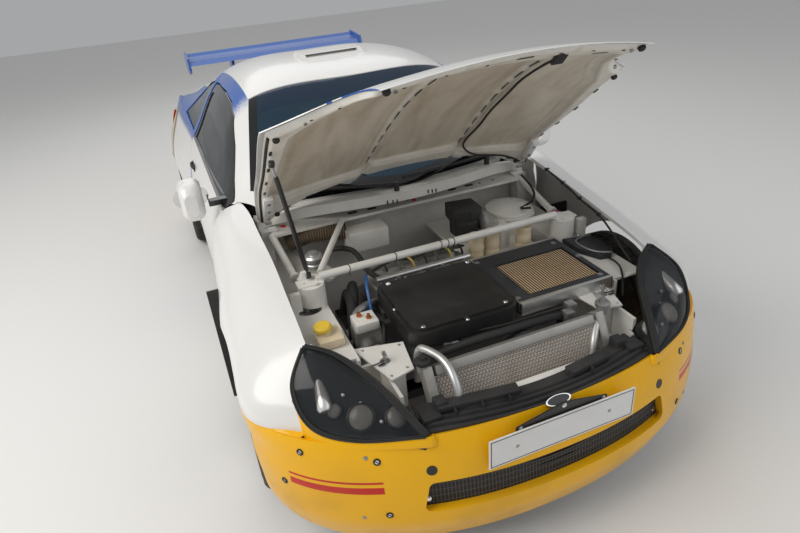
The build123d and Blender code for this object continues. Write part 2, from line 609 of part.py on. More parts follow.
# Running gear that stays with the body
subframe = block(1040, 1330, -330, 330, 220, 262) + block(1000, 1340, -420, -330, 220, 300)
subframe += block(1000, 1340, 330, 420, 220, 300) + block(1100, 1200, -380, 380, 262, 320)
arm_r = plan_prism([(1010, 360), (1320, 360), (1240, 560), (1222, 636), (1170, 636), (1150, 560)],
                   226, 250, 8)
subframe += arm_r + flipped(arm_r)
subframe += block(1040, 1120, 400, 500, 262, 420) + block(1040, 1120, -500, -400, 262, 420)
subframe += block(667, 1080, 300, 360, 262, 300) + block(667, 1080, -360, -300, 262, 300)
parts["front_subframe"] = subframe - engine - parts["inner_wings"] - parts["bulkhead"]
beam = rod((-1180, -560, 300), (-1180, 560, 300), 34)
for side in (1, -1):
    beam += block(-1300, -880, side * 560 - 30, side * 560 + 30, 262, 330)
    beam += rod((REAR_AXLE_X, side * 560, AXLE_Z), (REAR_AXLE_X, side * 812, AXLE_Z), 30)
    beam += rod((REAR_AXLE_X, side * 700, AXLE_Z), (REAR_AXLE_X, side * 724, AXLE_Z), 132)
    beam += rod((-1290, side * 548, 300), (-1310, side * 480, 640), 24)
beam = beam - parts["floor_pan"] - parts["rear_quarters"] - parts["sills"]
parts["rear_beam"] = beam
pipe = bent_tube([(700, 90, 180), (-300, 90, 180), (-900, 300, 210), (-1500, 400, 240), (-1900, 400, 235)],
                 120, 26)
exhaust = pipe + rod((-1560, 400, 238), (-1800, 400, 236), 68)
exhaust += block(-640, -600, 60, 120, 190, 200) + block(-1640, -1620, 370, 430, 290, 330)
exhaust += bent_tube([(1180, 90, 310), (1180, 90, 180), (690, 90, 180)], 60, 26)
parts["exhaust"] = exhaust - floor - parts["rear_bumper"] - parts["rear_beam"] - subframe - engine

# Cab interior
dash = block(330, 560, -640, 640, 720, 862) + block(380, 640, -640, 640, 640, 720)
dash += block(300, 420, -150, 150, 500, 720) + block(360, 460, -110, 110, 330, 500)
dash += block(280, 330, -470, -250, 760, 850)
parts["dashboard"] = dash - parts["bulkhead"] - floor
steering = Pos(196, -360, 842) * Rot(0, 68, 0) * (Torus(160, 14) + Cylinder(40, 12))
for turn in (90, 210, 330):
    steering += Pos(196, -360, 842) * Rot(0, 68, 0) * Rot(0, 0, turn) * (Pos(92, 0, 0) * Box(140, 26, 6))
steering += rod((196, -360, 842), (330, -360, 788), 22)
parts["steering_wheel"] = steering - dash


def seat(y):
    shell = side_prism([(60, 262), (120, 430), (-110, 446), (-215, 540), (-300, 800), (-396, 1005),
                        (-470, 1005), (-456, 760), (-340, 262)], y - 215, y + 215, 14)
    shell -= side_prism([(300, 1200), (300, 352), (70, 318), (-180, 300), (-245, 340), (-392, 800),
                         (-440, 1200)], y - 165, y + 165)
    return shell + side_prism([(60, 214), (60, 262), (-330, 262), (-330, 214)], y - 150, y + 150)


seats = Compound([*seat(365).solids(), *seat(-365).solids()])
parts["seats"] = seats - floor
CAGE_R = 19
cage = bent_tube([(-520, -610, 214), (-520, -600, 800), (-520, -470, 1208), (-520, 470, 1208),
                  (-520, 600, 800), (-520, 610, 214)], 90, CAGE_R)
for side in (1, -1):
    cage += bent_tube([(-520, side * 455, 1190), (140, side * 455, 1190), (520, side * 600, 905),
                       (560, side * 620, 214)], 70, CAGE_R)
    cage += rod((-520, side * 520, 1060), (-1230, side * 440, 344), CAGE_R)
    cage += rod((-520, side * 606, 450), (540, side * 612, 330), CAGE_R)
cage += rod((-520, -560, 900), (-520, 560, 900), CAGE_R)
cage += rod((-520, -540, 1000), (-520, 580, 300), CAGE_R)
cage += rod((150, -450, 1186), (150, 450, 1186), CAGE_R)
parts["roll_cage"] = cage - floor - dash - parts["seats"] - parts["rear_beam"]

blades = []
for y0, y1, x0, x1 in ((430, -60, 720, 812), (-60, -520, 828, 690)):
    blades.append(rod((x0 + 26, y0, 942), (x1 + 26, y1 + 40, 960), 8))
wiper = blades[0] + blades[1]
wiper += rod((746, 430, 880), (746, 430, 944), 12) + rod((854, -60, 880), (854, -60, 952), 12)
parts["wipers"] = wiper - parts["scuttle_panel"] - parts["windscreen"]
flap = block(796, 806, 700, 905, 90, 640) - wing
parts["mud_flaps"] = both_sides(flap - sill)

# Bonnet, drawn closed and then turned about its hinge
bonnet_axis = Axis((BONNET_PIVOT[0], 0, BONNET_PIVOT[1]), (0, 1, 0))
POCKETS = [
    [(970, -178), (970, 178), (1800, 138), (1800, -138)],
    [(905, 228), (850, 560), (1470, 572), (1740, 405), (1800, 190)],
    [(905, -228), (850, -560), (1470, -572), (1740, -405), (1800, -190)],
]
skin = bonnet_loft(BONNET_SKIN) & rise(bonnet_outline(), 350, 1000)
under = bonnet_loft(BONNET_FRAME_DEPTH, BONNET_SKIN) & rise(bonnet_outline(-12), 350, 1000)
for outline in POCKETS:
    under -= plan_prism(outline, 350, 1000, 36)
STAY_Y = -615
STAY_TOP = (1357, 757)             # x, z with the bonnet closed
STAY_LENGTH, STAY_ANGLE = 519, 263.35   # angle of the stay from +X, with the bonnet open
under += block(STAY_TOP[0] - 18, STAY_TOP[0] + 18, STAY_Y + 14, STAY_Y + 20, 748, 800) - bonnet_loft(60, -56)
under -= both_sides(lamp_loft(-7, 110, -0.08))
under -= block(1866, 1960, -460, 460, 520, 604)
parts["bonnet_skin"] = skin.rotate(bonnet_axis, -BONNET_OPEN)
parts["bonnet_frame"] = (under - skin).rotate(bonnet_axis, -BONNET_OPEN)
reach = hypot(STAY_TOP[0] - BONNET_PIVOT[0], STAY_TOP[1] - BONNET_PIVOT[1])
swing = radians(BONNET_OPEN) + atan2(STAY_TOP[1] - BONNET_PIVOT[1], STAY_TOP[0] - BONNET_PIVOT[0])
stay_top = (BONNET_PIVOT[0] + reach * cos(swing), STAY_Y, BONNET_PIVOT[1] + reach * sin(swing))
stay_foot = (stay_top[0] + STAY_LENGTH * cos(radians(STAY_ANGLE)), STAY_Y,
             stay_top[2] + STAY_LENGTH * sin(radians(STAY_ANGLE)))
stay = rod(stay_top, stay_foot, 5.5) + Pos(*stay_top) * Sphere(8) + Pos(*stay_foot) * Sphere(7)
parts["bonnet_stay"] = stay

# Steered legs: upright, hub, disc and caliper, with the suspension leg on the steering axis
for side_name, side in SIDES.items():
    top = Vector(STRUT_TOP[0], side * STRUT_TOP[1], STRUT_TOP[2])
    foot = Vector(BALL_JOINT[0], side * BALL_JOINT[1], BALL_JOINT[2])
    along = (top - foot).normalized()

    def axis_point(z):
        return foot + along * ((z - foot.Z) / along.Z)

    leg = rod(tuple(axis_point(400)), tuple(axis_point(590)), 25)
    leg += rod(tuple(axis_point(590)), tuple(axis_point(752)), 11)
    leg += rod(tuple(axis_point(560)), tuple(axis_point(664)), 42)
    leg += block(1150, 1236, side * 640, side * 668, 262, 440)
    leg += rod((FRONT_AXLE_X, side * 636, AXLE_Z), (FRONT_AXLE_X, side * 812, AXLE_Z), 32)
    leg += rod((FRONT_AXLE_X, side * 696, AXLE_Z), (FRONT_AXLE_X, side * 718, AXLE_Z), 138)
    leg += block(1040, 1090, side * 686, side * 730, 270, 400)
    leg += block(1062, 1180, side * 672, side * 688, 290, 340)
    leg += block(1150, 1190, side * 660, side * 690, 290, 340)
    parts[f"knuckle_{side_name}"] = leg

# Wheels
RIM_HALF = 90
TREAD_HALF = TYRE_W / 2
tyre_half = [(TYRE_R, 74), (300, 88), (286, TREAD_HALF), (250, TREAD_HALF - 1), (RIM_R, 80)]  # radius, width
tyre_face = make_face(Polyline(*[(r, -w) for r, w in tyre_half[::-1]], *tyre_half, close=True))
tyre = revolve(Plane.XY * tyre_face, Axis.Y)
barrel_half = [(RIM_R, 80), (RIM_R + 8, 82), (RIM_R + 8, RIM_HALF), (RIM_R - 14, RIM_HALF)]
barrel_face = make_face(Polyline(*[(r, -w) for r, w in barrel_half[::-1]], *barrel_half, close=True))
rim = revolve(barrel_face, Axis.Y)
rim += Pos(0, 51, 0) * Rot(90, 0, 0) * Cylinder(RIM_R - 13, 20)
for k in range(8):
    angle = radians(k * 45 + 22.5)
    rim -= Pos(146 * cos(angle), 51, 146 * sin(angle)) * Rot(90, 0, 0) * Cylinder(38, 40)
for k in range(4):
    angle = radians(k * 90 + 45)
    rim -= Pos(54 * cos(angle), 51, 54 * sin(angle)) * Rot(90, 0, 0) * Cylinder(6.5, 40)
rim -= Pos(0, 51, 0) * Rot(90, 0, 0) * Cylinder(30, 40)
tyre = tyre - rim
for name, (axle_x, side) in WHEELS.items():
    turn = Rot(0, 0, 0) if side > 0 else Rot(0, 0, 180)
    place = Pos(axle_x, side * WHEEL_Y, AXLE_Z) * turn
    parts[f"tyre_{name}"] = place * tyre
    parts[f"rim_{name}"] = place * rim

os.makedirs("parts", exist_ok=True)
for name, shape in parts.items():
    shape = largest(shape, 2000)
    export_step(shape, f"parts/{name}.step")
    print(name, [round(s.volume / 1000) for s in shape.solids()][:6], all(s.is_valid for s in shape.solids()))
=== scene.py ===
import math
import random

import bmesh
import bpy
from mathutils import Matrix, Vector
from mathutils.bvhtree import BVHTree


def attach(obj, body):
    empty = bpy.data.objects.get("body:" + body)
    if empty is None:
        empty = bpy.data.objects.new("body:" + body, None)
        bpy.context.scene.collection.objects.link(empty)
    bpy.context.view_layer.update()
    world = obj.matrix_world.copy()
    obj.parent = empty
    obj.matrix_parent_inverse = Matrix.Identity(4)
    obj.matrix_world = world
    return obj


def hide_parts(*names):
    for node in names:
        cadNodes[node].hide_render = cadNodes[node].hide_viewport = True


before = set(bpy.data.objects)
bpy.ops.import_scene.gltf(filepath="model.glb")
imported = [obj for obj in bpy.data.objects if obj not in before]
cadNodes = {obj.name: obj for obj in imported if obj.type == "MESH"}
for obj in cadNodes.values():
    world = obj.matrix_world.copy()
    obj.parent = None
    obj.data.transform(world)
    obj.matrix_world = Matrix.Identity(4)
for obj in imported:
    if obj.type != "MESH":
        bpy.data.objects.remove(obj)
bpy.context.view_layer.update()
print("frame loaded")

# Camera, floor and light

photo = {"eye": (3.100, -0.892, 1.870), "yaw": 160.03, "pitch": -28.89, "roll": -5.02, "lens": 27.37,
         "sensor": 36, "nearest": 0.05}
studio = {"floor": (0.80, 0.79, 0.77), "floorReach": 14, "worldColour": (0.96, 0.98, 1.0, 1), "world": 0.39}
lamps = [{"name": "keyLight", "at": (1.5, -4.2, 4.6), "to": (0.6, 0, 0.6), "size": 4.6, "power": 225,
          "colour": (1, 0.97, 0.93)},
         {"name": "fillLight", "at": (4.5, 3.5, 3.5), "to": (0.8, 0, 0.6), "size": 5.0, "power": 56,
          "colour": (0.95, 0.97, 1)},
         {"name": "backLight", "at": (-4.0, 0.5, 4.5), "to": (-0.5, 0, 0.8), "size": 5.0, "power": 56,
          "colour": (1, 1, 1)}]


def cameraAxes():
    yaw, pitch, roll = (math.radians(photo[k]) for k in ("yaw", "pitch", "roll"))
    ahead = Vector((math.cos(pitch) * math.cos(yaw), math.cos(pitch) * math.sin(yaw), math.sin(pitch)))
    right = ahead.cross(Vector((0, 0, 1))).normalized()
    up = right.cross(ahead)
    return ahead, right * math.cos(roll) + up * math.sin(roll), up * math.cos(roll) - right * math.sin(roll)


def addObject(name, data):
    made = bpy.data.objects.new(name, data)
    bpy.context.scene.collection.objects.link(made)
    return made


def placeCamera():
    cam = addObject("photoCamera", bpy.data.cameras.new("photoCamera"))
    ahead, sideways, upright = cameraAxes()
    turn = Matrix((sideways, upright, -ahead)).transposed()
    cam.matrix_world = Matrix.Translation(photo["eye"]) @ turn.to_4x4()
    cam.data.lens = photo["lens"]
    cam.data.sensor_width = photo["sensor"]
    cam.data.clip_start = photo["nearest"]
    bpy.context.scene.camera = cam


def setStudio():
    world = bpy.data.worlds.new("studio")
    bpy.context.scene.world = world
    world.use_nodes = True
    back = world.node_tree.nodes["Background"]
    back.inputs["Color"].default_value = studio["worldColour"]
    back.inputs["Strength"].default_value = studio["world"]
    for lamp in lamps:
        light = bpy.data.lights.new(lamp["name"], "AREA")
        light.shape = "DISK"
        light.size, light.energy, light.color = lamp["size"], lamp["power"], lamp["colour"]
        placed = addObject(lamp["name"], light)
        placed.location = lamp["at"]
        placed.rotation_euler = (Vector(lamp["to"]) - Vector(lamp["at"])).to_track_quat("-Z", "Y").to_euler()
    mesh = bpy.data.meshes.new("studioFloor")
    far = studio["floorReach"]
    mesh.from_pydata([(-far, -far, 0), (far, -far, 0), (far, far, 0), (-far, far, 0)], [], [(0, 1, 2, 3)])
    mesh.materials.append(material("studioFloor", studio["floor"], rough=0.85)[0])
    addObject("studioFloor", mesh)
    bpy.context.scene.view_settings.view_transform = "Standard"


# Shader nodes

def fill(tree, socket, value):  # a socket is linked, a colour gets its fourth number, anything else is set
    if isinstance(value, bpy.types.NodeSocket):
        tree.links.new(value, socket)
    elif socket.type == "RGBA":
        socket.default_value = (*value[:3], 1)
    else:
        socket.default_value = value


def addNode(tree, kind, group=None, **inputs):
    node = tree.nodes.new(kind)
    if group:
        node.node_tree = group
    for name, value in inputs.items():
        fill(tree, node.inputs[name.replace("_", " ")], value)
    return node


def maths(tree, operation, first, second=0.5):
    node = tree.nodes.new("ShaderNodeMath")
    node.operation = operation
    fill(tree, node.inputs[0], first)
    fill(tree, node.inputs[1], second)
    return node.outputs[0]


def plus(tree, first, second):
    return maths(tree, "ADD", first, second)


def times(tree, first, second):
    return maths(tree, "MULTIPLY", first, second)


def inverse(tree, value):
    return maths(tree, "SUBTRACT", 1.0, value)


def either(tree, first, second):
    return maths(tree, "MAXIMUM", first, second)


def both(tree, *masks):
    share = masks[0]
    for mask in masks[1:]:
        share = times(tree, share, mask)
    return share


def mixColour(tree, share, first, second):
    node = tree.nodes.new("ShaderNodeMix")
    node.data_type = "RGBA"
    for place, value in ((0, share), (6, first), (7, second)):  # the three inputs that colours use
        fill(tree, node.inputs[place], value)
    return node.outputs[2]


def step(tree, value, low, high):  # 0 below low, 1 above high, smooth between
    node = addNode(tree, "ShaderNodeMapRange", Value=value, From_Min=low, From_Max=high)
    node.interpolation_type = "SMOOTHSTEP"
    return node.outputs[0]


def between(tree, value, low, high, soft):  # 1 from low to high, with soft edges
    return both(tree, step(tree, value, low, low + soft), inverse(tree, step(tree, value, high, high + soft)))


def ownPlace(tree):
    return addNode(tree, "ShaderNodeTexCoord").outputs["Object"]


def split(tree, place):
    return addNode(tree, "ShaderNodeSeparateXYZ", Vector=place).outputs


def noise(tree, place, scale, detail, **more):
    return addNode(tree, "ShaderNodeTexNoise", Vector=place, Scale=scale, Detail=detail,
                   **more).outputs["Fac"]


def material(name, colour, rough=0.5, metal=0.0, coat=0.0, alpha=1.0):
    mat = bpy.data.materials.new(name)
    mat.use_nodes = True
    tree = mat.node_tree
    shader = tree.nodes["Principled BSDF"]
    for socket, value in (("Base Color", colour), ("Roughness", rough), ("Metallic", metal),
                          ("Coat Weight", coat), ("Coat Roughness", 0.08), ("Alpha", alpha)):
        fill(tree, shader.inputs[socket], value)
    return mat, shader, tree


def newGroup(name, inputs, outputs):
    group = bpy.data.node_groups.new(name, "ShaderNodeTree")
    for label, kind, value in inputs:
        socket = group.interface.new_socket(label, in_out="INPUT", socket_type="NodeSocket" + kind)
        socket.default_value = value
    for label, kind in outputs:
        group.interface.new_socket(label, in_out="OUTPUT", socket_type="NodeSocket" + kind)
    return group, group.nodes.new("NodeGroupInput").outputs, group.nodes.new("NodeGroupOutput").inputs


def makeRoadDirt():  # dust that gathers in patches and specks, with a slightly uneven surface under it
    group, given, result = newGroup(
        "roadDirt",
        [("Colour", "Color", (0.8, 0.8, 0.8, 1)), ("Dirt Colour", "Color", (0.3, 0.25, 0.2, 1)),
         ("Amount", "Float", 0.3), ("Patch Scale", "Float", 6.0), ("Roughness", "Float", 0.3),
         ("Low Down", "Float", 0.5)],
        [("Colour", "Color"), ("Roughness", "Float"), ("Height", "Float")])
    place = ownPlace(group)
    patches = noise(group, place, given["Patch Scale"], 7.0)
    specks = noise(group, place, 190.0, 3.0)
    low = times(group, inverse(group, step(group, split(group, place)["Z"], 0.12, 0.62)), given["Low Down"])
    patchy = step(group, patches, 0.42, 0.72)
    share = times(group, plus(group, patchy, step(group, specks, 0.60, 0.74)), given["Amount"])
    share = plus(group, share, times(group, low, plus(group, patchy, 0.25)))
    share = maths(group, "MINIMUM", share, 0.92)
    fill(group, result["Colour"], mixColour(group, share, given["Colour"], given["Dirt Colour"]))
    fill(group, result["Roughness"], plus(group, given["Roughness"], times(group, share, 0.45)))
    fill(group, result["Height"], plus(group, patches, specks))
    return group


def makeWrinkle():  # wrinkle finish and cast grain: small soft bumps
    group, given, result = newGroup("wrinkleFinish", [("Scale", "Float", 500.0), ("Sharpness", "Float", 0.5)],
                                    [("Height", "Float")])
    place = ownPlace(group)
    cells = addNode(group, "ShaderNodeTexVoronoi", Vector=place, Scale=given["Scale"]).outputs["Distance"]
    grain = noise(group, place, given["Scale"], 4.0)
    fill(group, result["Height"], plus(group, times(group, cells, given["Sharpness"]), grain))
    return group


roadDirt, wrinkle = makeRoadDirt(), makeWrinkle()


def soil(tree, shader, strength, height=None, **inputs):  # road dirt over the finish, and the bumps in it
    dirt = addNode(tree, "ShaderNodeGroup", roadDirt, **inputs).outputs
    bump = addNode(tree, "ShaderNodeBump", Height=height or dirt["Height"], Strength=strength, Distance=0.001)
    fill(tree, shader.inputs["Base Color"], dirt["Colour"])
    fill(tree, shader.inputs["Roughness"], dirt["Roughness"])
    fill(tree, shader.inputs["Normal"], bump.outputs["Normal"])


def dirtied(name, colour, dirt=(0.34, 0.28, 0.21), amount=0.06, scale=5.0, rough=0.3, lowDown=0.0, bump=0.06,
            coat=0.0, marks=None, shine=0.5):
    mat, shader, tree = material(name, colour, rough, coat=coat)
    shader.inputs["Specular IOR Level"].default_value = shine
    base = marks(tree, split(tree, ownPlace(tree)), colour) if marks else colour
    soil(tree, shader, bump, Colour=base, Dirt_Colour=dirt, Amount=amount, Patch_Scale=scale, Roughness=rough,
         Low_Down=lowDown)
    return mat


def textured(name, colour, wear, scale=500.0, rough=0.5, metal=0.0, strength=0.3):
    mat, shader, tree = material(name, colour, rough, metal)
    grain = addNode(tree, "ShaderNodeGroup", wrinkle, Scale=scale, Sharpness=0.5).outputs["Height"]
    soil(tree, shader, strength, grain, Colour=colour, Dirt_Colour=wear, Amount=0.22, Patch_Scale=9.0,
         Roughness=rough, Low_Down=0.0)
    return mat


# Livery marks: masks in the car's own x, y and z, in metres

livery = {"white": (0.78, 0.775, 0.755), "orange": (0.87, 0.456, 0.004), "blue": (0.012, 0.10, 0.42),
          "navy": (0.008, 0.022, 0.10), "yellow": (0.90, 0.62, 0.05), "red": (0.55, 0.015, 0.012)}


def speckled(tree, share):  # breaks a fade up into fine dots
    dots = noise(tree, ownPlace(tree), 120.0, 2.0)
    return step(tree, plus(tree, share, times(tree, dots, 0.3)), 0.60, 0.90)


def cantRailMarks(tree, xyz, colour):  # blue over the door, fading to white down the screen pillar
    ahead = inverse(tree, step(tree, xyz["X"], -0.10, 0.52))
    behind = step(tree, xyz["X"], -0.95, -0.55)
    return mixColour(tree, speckled(tree, both(tree, ahead, behind)), colour, livery["blue"])


def quarterMarks(tree, xyz, colour):  # slanted navy and yellow bands behind the door, blue along the top
    lean = plus(tree, xyz["X"], times(tree, xyz["Z"], 0.8))
    bands = step(tree, maths(tree, "SINE", times(tree, lean, 30.0)), -0.05, 0.0)
    rear = inverse(tree, step(tree, lean, -0.62, -0.60))
    base = mixColour(tree, rear, colour, mixColour(tree, bands, livery["navy"], livery["yellow"]))
    return mixColour(tree, speckled(tree, step(tree, xyz["Z"], 0.80, 0.98)), base, livery["blue"])


def doorMarks(tree, xyz, colour):  # white door and mirror, black window surround and mirror arm
    side = maths(tree, "ABSOLUTE", xyz["Y"])
    above = step(tree, maths(tree, "SUBTRACT", xyz["Z"], times(tree, xyz["X"], -0.048)), 0.896, 0.899)
    window = both(tree, above, inverse(tree, step(tree, side, 0.806, 0.812)))
    swoosh = plus(tree, xyz["X"], times(tree, xyz["Z"], 1.1))
    tail = speckled(tree, inverse(tree, step(tree, swoosh, 0.20, 0.50)))
    tail = both(tree, tail, inverse(tree, step(tree, side, 0.84, 0.85)))
    return mixColour(tree, window, mixColour(tree, tail, colour, livery["blue"]), (0.012, 0.012, 0.013))


def bumperMarks(tree, xyz, colour):  # two plain red bars low on each flank
    side = maths(tree, "ABSOLUTE", xyz["Y"])
    level = plus(tree, xyz["Z"], times(tree, side, 0.06))
    bars = either(tree, between(tree, level, 0.437, 0.462, 0.002), between(tree, level, 0.474, 0.482, 0.002))
    flank = between(tree, side, 0.555, 0.80, 0.005)
    ahead = step(tree, xyz["X"], 1.5, 1.52)
    return mixColour(tree, both(tree, flank, ahead, bars), colour, livery["red"])


def bonnetMarks(tree, xyz, colour):  # a blue band with a thin line beside it near each front corner
    side = maths(tree, "ABSOLUTE", xyz["Y"])
    bands = either(tree, between(tree, side, 0.404, 0.448, 0.003), between(tree, side, 0.466, 0.478, 0.002))
    return mixColour(tree, both(tree, step(tree, xyz["X"], 1.30, 1.31), bands), colour, livery["blue"])


white = livery["white"]
bonnetPaint = dirtied("bonnetPaint", white, amount=0.03, rough=0.24, coat=0.6, bump=0.03, marks=bonnetMarks)
bodyWhite = dirtied("bodyWhite", white, amount=0.035, lowDown=0.12, rough=0.24, coat=0.4, bump=0.03)
railPaint = dirtied("railPaint", white, amount=0.03, rough=0.26, coat=0.5, bump=0.03, marks=cantRailMarks)
quarterPaint = dirtied("quarterPaint", white, amount=0.04, lowDown=0.2, rough=0.26, coat=0.5, bump=0.03,
                       marks=quarterMarks)
doorPaint = dirtied("doorPaint", white, amount=0.04, lowDown=0.15, rough=0.26, coat=0.5, bump=0.03,
                    marks=doorMarks)
bumperPaint = dirtied("bumperPaint", livery["orange"], (0.30, 0.17, 0.05), 0.05, lowDown=0.25, rough=0.27,
                      coat=0.22, bump=0.04, marks=bumperMarks, shine=0.2)
tailPaint = dirtied("tailPaint", livery["orange"], (0.30, 0.17, 0.05), 0.05, lowDown=0.3, rough=0.27,
                    coat=0.6, bump=0.04)
wingBlue = dirtied("wingBlue", livery["blue"], amount=0.03, rough=0.3, coat=0.6, bump=0.04)
bayWhite = dirtied("bayWhite", (0.76, 0.745, 0.70), (0.33, 0.28, 0.22), 0.16, 9.0, rough=0.42, bump=0.10)
floorWhite = dirtied("floorWhite", (0.50, 0.49, 0.47), (0.16, 0.13, 0.10), 0.35, 7.0, rough=0.6, bump=0.2)
# black paint, and painted shade at holes and slots, where black plates stand for the dark seen through them
blackPaintAndHoleShade = dirtied("blackPaintAndHoleShade", (0.016, 0.016, 0.017), (0.10, 0.09, 0.08), 0.10, rough=0.35, bump=0.06)
creamPlastic = dirtied("creamPlastic", (0.74, 0.62, 0.42), (0.30, 0.22, 0.13), 0.14, 22, rough=0.4, bump=0.08)
yellowPlastic = dirtied("yellowPlastic", (0.80, 0.55, 0.05), (0.3, 0.2, 0.05), 0.1, 30, rough=0.4)
blackPlastic = textured("blackPlastic", (0.022, 0.022, 0.023), (0.09, 0.08, 0.07), 700, 0.55, strength=0.25)
rubber = textured("rubber", (0.018, 0.018, 0.018), (0.07, 0.065, 0.06), 420, 0.75, strength=0.3)
alloy = textured("alloy", (0.62, 0.62, 0.61), (0.36, 0.34, 0.31), 260, 0.34, 0.9, 0.12)
steel = textured("steel", (0.40, 0.40, 0.40), (0.22, 0.19, 0.16), 300, 0.42, 0.9, 0.2)
castIron = textured("castIron", (0.11, 0.11, 0.115), (0.20, 0.17, 0.14), 240, 0.6, 0.5, 0.5)
chrome = textured("chrome", (0.78, 0.78, 0.79), (0.5, 0.5, 0.5), 90, 0.1, 1.0, 0.02)
fabric = textured("fabric", (0.03, 0.03, 0.034), (0.06, 0.06, 0.06), 900, 0.9, strength=0.5)


def glassMaterial(name, colour, alpha, marks=None):
    mat, shader, tree = material(name, colour, rough=0.04, coat=0.3, alpha=alpha)
    place = ownPlace(tree)
    film = step(tree, noise(tree, place, 260.0, 3.0), 0.52, 0.80)
    fill(tree, shader.inputs["Roughness"], plus(tree, times(tree, film, 0.10), 0.04))
    if marks:
        tint, opaque = marks(tree, split(tree, place), colour)
        fill(tree, shader.inputs["Base Color"], tint)
        fill(tree, shader.inputs["Alpha"], either(tree, opaque, alpha))
    return mat


def screenMarks(tree, xyz, colour):  # black band round the glass and a dark blue sun strip, left bare
    side = maths(tree, "ABSOLUTE", xyz["Y"])
    edge = plus(tree, times(tree, xyz["X"], 0.302), 0.449)
    sides = step(tree, maths(tree, "SUBTRACT", side, edge), -0.042, -0.038)
    bow = times(tree, times(tree, side, side), 0.667)
    base = step(tree, plus(tree, xyz["X"], bow), 0.778, 0.782)
    top = inverse(tree, step(tree, plus(tree, xyz["X"], times(tree, bow, 0.28)), 0.318, 0.321))
    black = either(tree, sides, base)
    tint = mixColour(tree, top, colour, (0.006, 0.020, 0.045))
    return mixColour(tree, black, tint, (0.008, 0.008, 0.009)), either(tree, black, top)


screenGlass = glassMaterial("screenGlass", (0.010, 0.035, 0.060), 0.80, screenMarks)
tintedGlass = glassMaterial("tintedGlass", (0.010, 0.014, 0.020), 0.86)
lampCover = glassMaterial("lampCover", (0.018, 0.022, 0.026), 0.26)
lampRed = glassMaterial("lampRed", (0.42, 0.008, 0.008), 0.95)
print("materials made")

# Finishes for the parts that keep their shape from the part file

finishes = {
    "bodyWhite": ["front_wings", "roof_panel", "sills", "tail_corners", "tailgate"],
    "bonnetPaint": ["bonnet_skin"], "railPaint": ["roof_rails"], "quarterPaint": ["rear_quarters"],
    "doorPaint": ["door_left", "door_right"], "bumperPaint": ["front_bumper"], "tailPaint": ["rear_bumper"],
    "wingBlue": ["rear_wing"], "bayWhite": ["inner_wings", "bulkhead", "strut_brace", "front_member",
                                            "scuttle_panel"],
    "floorWhite": ["floor_pan"], "creamBonnet": ["bonnet_frame"],
    "blackPaintAndHoleShade": ["front_subframe", "rear_beam", "bonnet_stay"],
    "blackPlastic": ["grille", "headlamp_units", "dashboard", "steering_wheel", "wipers", "mud_flaps",
                     "filter_tray"],
    "wrinkleBlack": ["airbox_cover"], "castIron": ["engine_block"], "alloy": ["radiator", "radiator_pipes"],
    "steel": ["exhaust", "knuckle_left", "knuckle_right", "bonnet_latches"], "fabric": ["seats"],
    "creamPlastic": ["fluid_reservoirs"], "screenGlass": ["windscreen"], "lampRed": ["tail_lamps"],
    "tintedGlass": ["quarter_glass", "rear_glass", "door_glass_left", "door_glass_right"],
    "lampCover": ["headlamp_lenses"], "plateWhite": ["number_plate"], "rollWhite": ["roll_cage"],
}
creamBonnet = dirtied("creamBonnet", (0.70, 0.60, 0.46), (0.42, 0.33, 0.23), 0.12, 8.0, rough=0.5, bump=0.05)
plateWhite = dirtied("plateWhite", (0.74, 0.74, 0.73), amount=0.06, rough=0.4)
rollWhite = dirtied("rollWhite", (0.62, 0.61, 0.59), amount=0.1, rough=0.4)
wrinkleBlack = textured("wrinkleBlack", (0.013, 0.013, 0.013), (0.07, 0.065, 0.06), 420, 0.38, strength=0.4)


def setFinishes():
    for name, node in cadNodes.items():
        if name.startswith("tyre_"):
            finish = "rubber"
        elif name.startswith("rim_"):
            finish = "bodyWhite"
        else:
            finish = next(wanted for wanted, nodes in finishes.items() if name in nodes)
        for materialSlot in node.material_slots:
            materialSlot.material = bpy.data.materials[finish]


setFinishes()
print("finishes set")

# Making meshes

def addPiece(name, mesh, mats, body="body", standsFor=(), smooth=True):
    for mat in mats if isinstance(mats, list) else [mats]:
        mesh.materials.append(mat)
    piece = addObject(name, mesh)
    for face in mesh.polygons:
        face.use_smooth = smooth
    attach(piece, body)
    if standsFor:
        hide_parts(*standsFor)
    return piece


def keep(name, bm, mats, body="body", standsFor=(), sharp=35):  # outward faces, creased above the sharp angle
    bmesh.ops.recalc_face_normals(bm, faces=bm.faces)
    for edge in bm.edges:
        if len(edge.link_faces) == 2:
            edge.smooth = edge.calc_face_angle(0) < math.radians(sharp)
    mesh = bpy.data.meshes.new(name)
    bm.to_mesh(mesh)
    bm.free()
    return addPiece(name, mesh, mats, body, standsFor)


def turned(axisDirection):
    return Vector(axisDirection).to_track_quat("Z", "Y").to_matrix().to_4x4()


def mirrored(place, side):  # as it is on the left side, the other way across on the right
    x, y, z = place
    return Vector((x, side * y, z))


def addLathe(bm, profile, place, direction=(0, 0, 1), sides=24, mat=0):  # profile: (radius, height) pairs
    turn = Matrix.Translation(place) @ turned(direction)
    rings = []
    for radius, height in profile:
        if radius < 1e-6:
            rings.append([bm.verts.new(turn @ Vector((0, 0, height)))])
        else:
            rings.append([bm.verts.new(turn @ Vector((radius * math.cos(a), radius * math.sin(a), height)))
                          for a in (math.tau * k / sides for k in range(sides))])
    for low, high in zip(rings, rings[1:]):
        for k in range(max(len(low), len(high))):
            around = ((low, k), (low, k + 1), (high, k + 1), (high, k))
            corners = dict.fromkeys(ring[n % len(ring)] for ring, n in around)
            if len(corners) > 2:
                bm.faces.new(list(corners)).material_index = mat


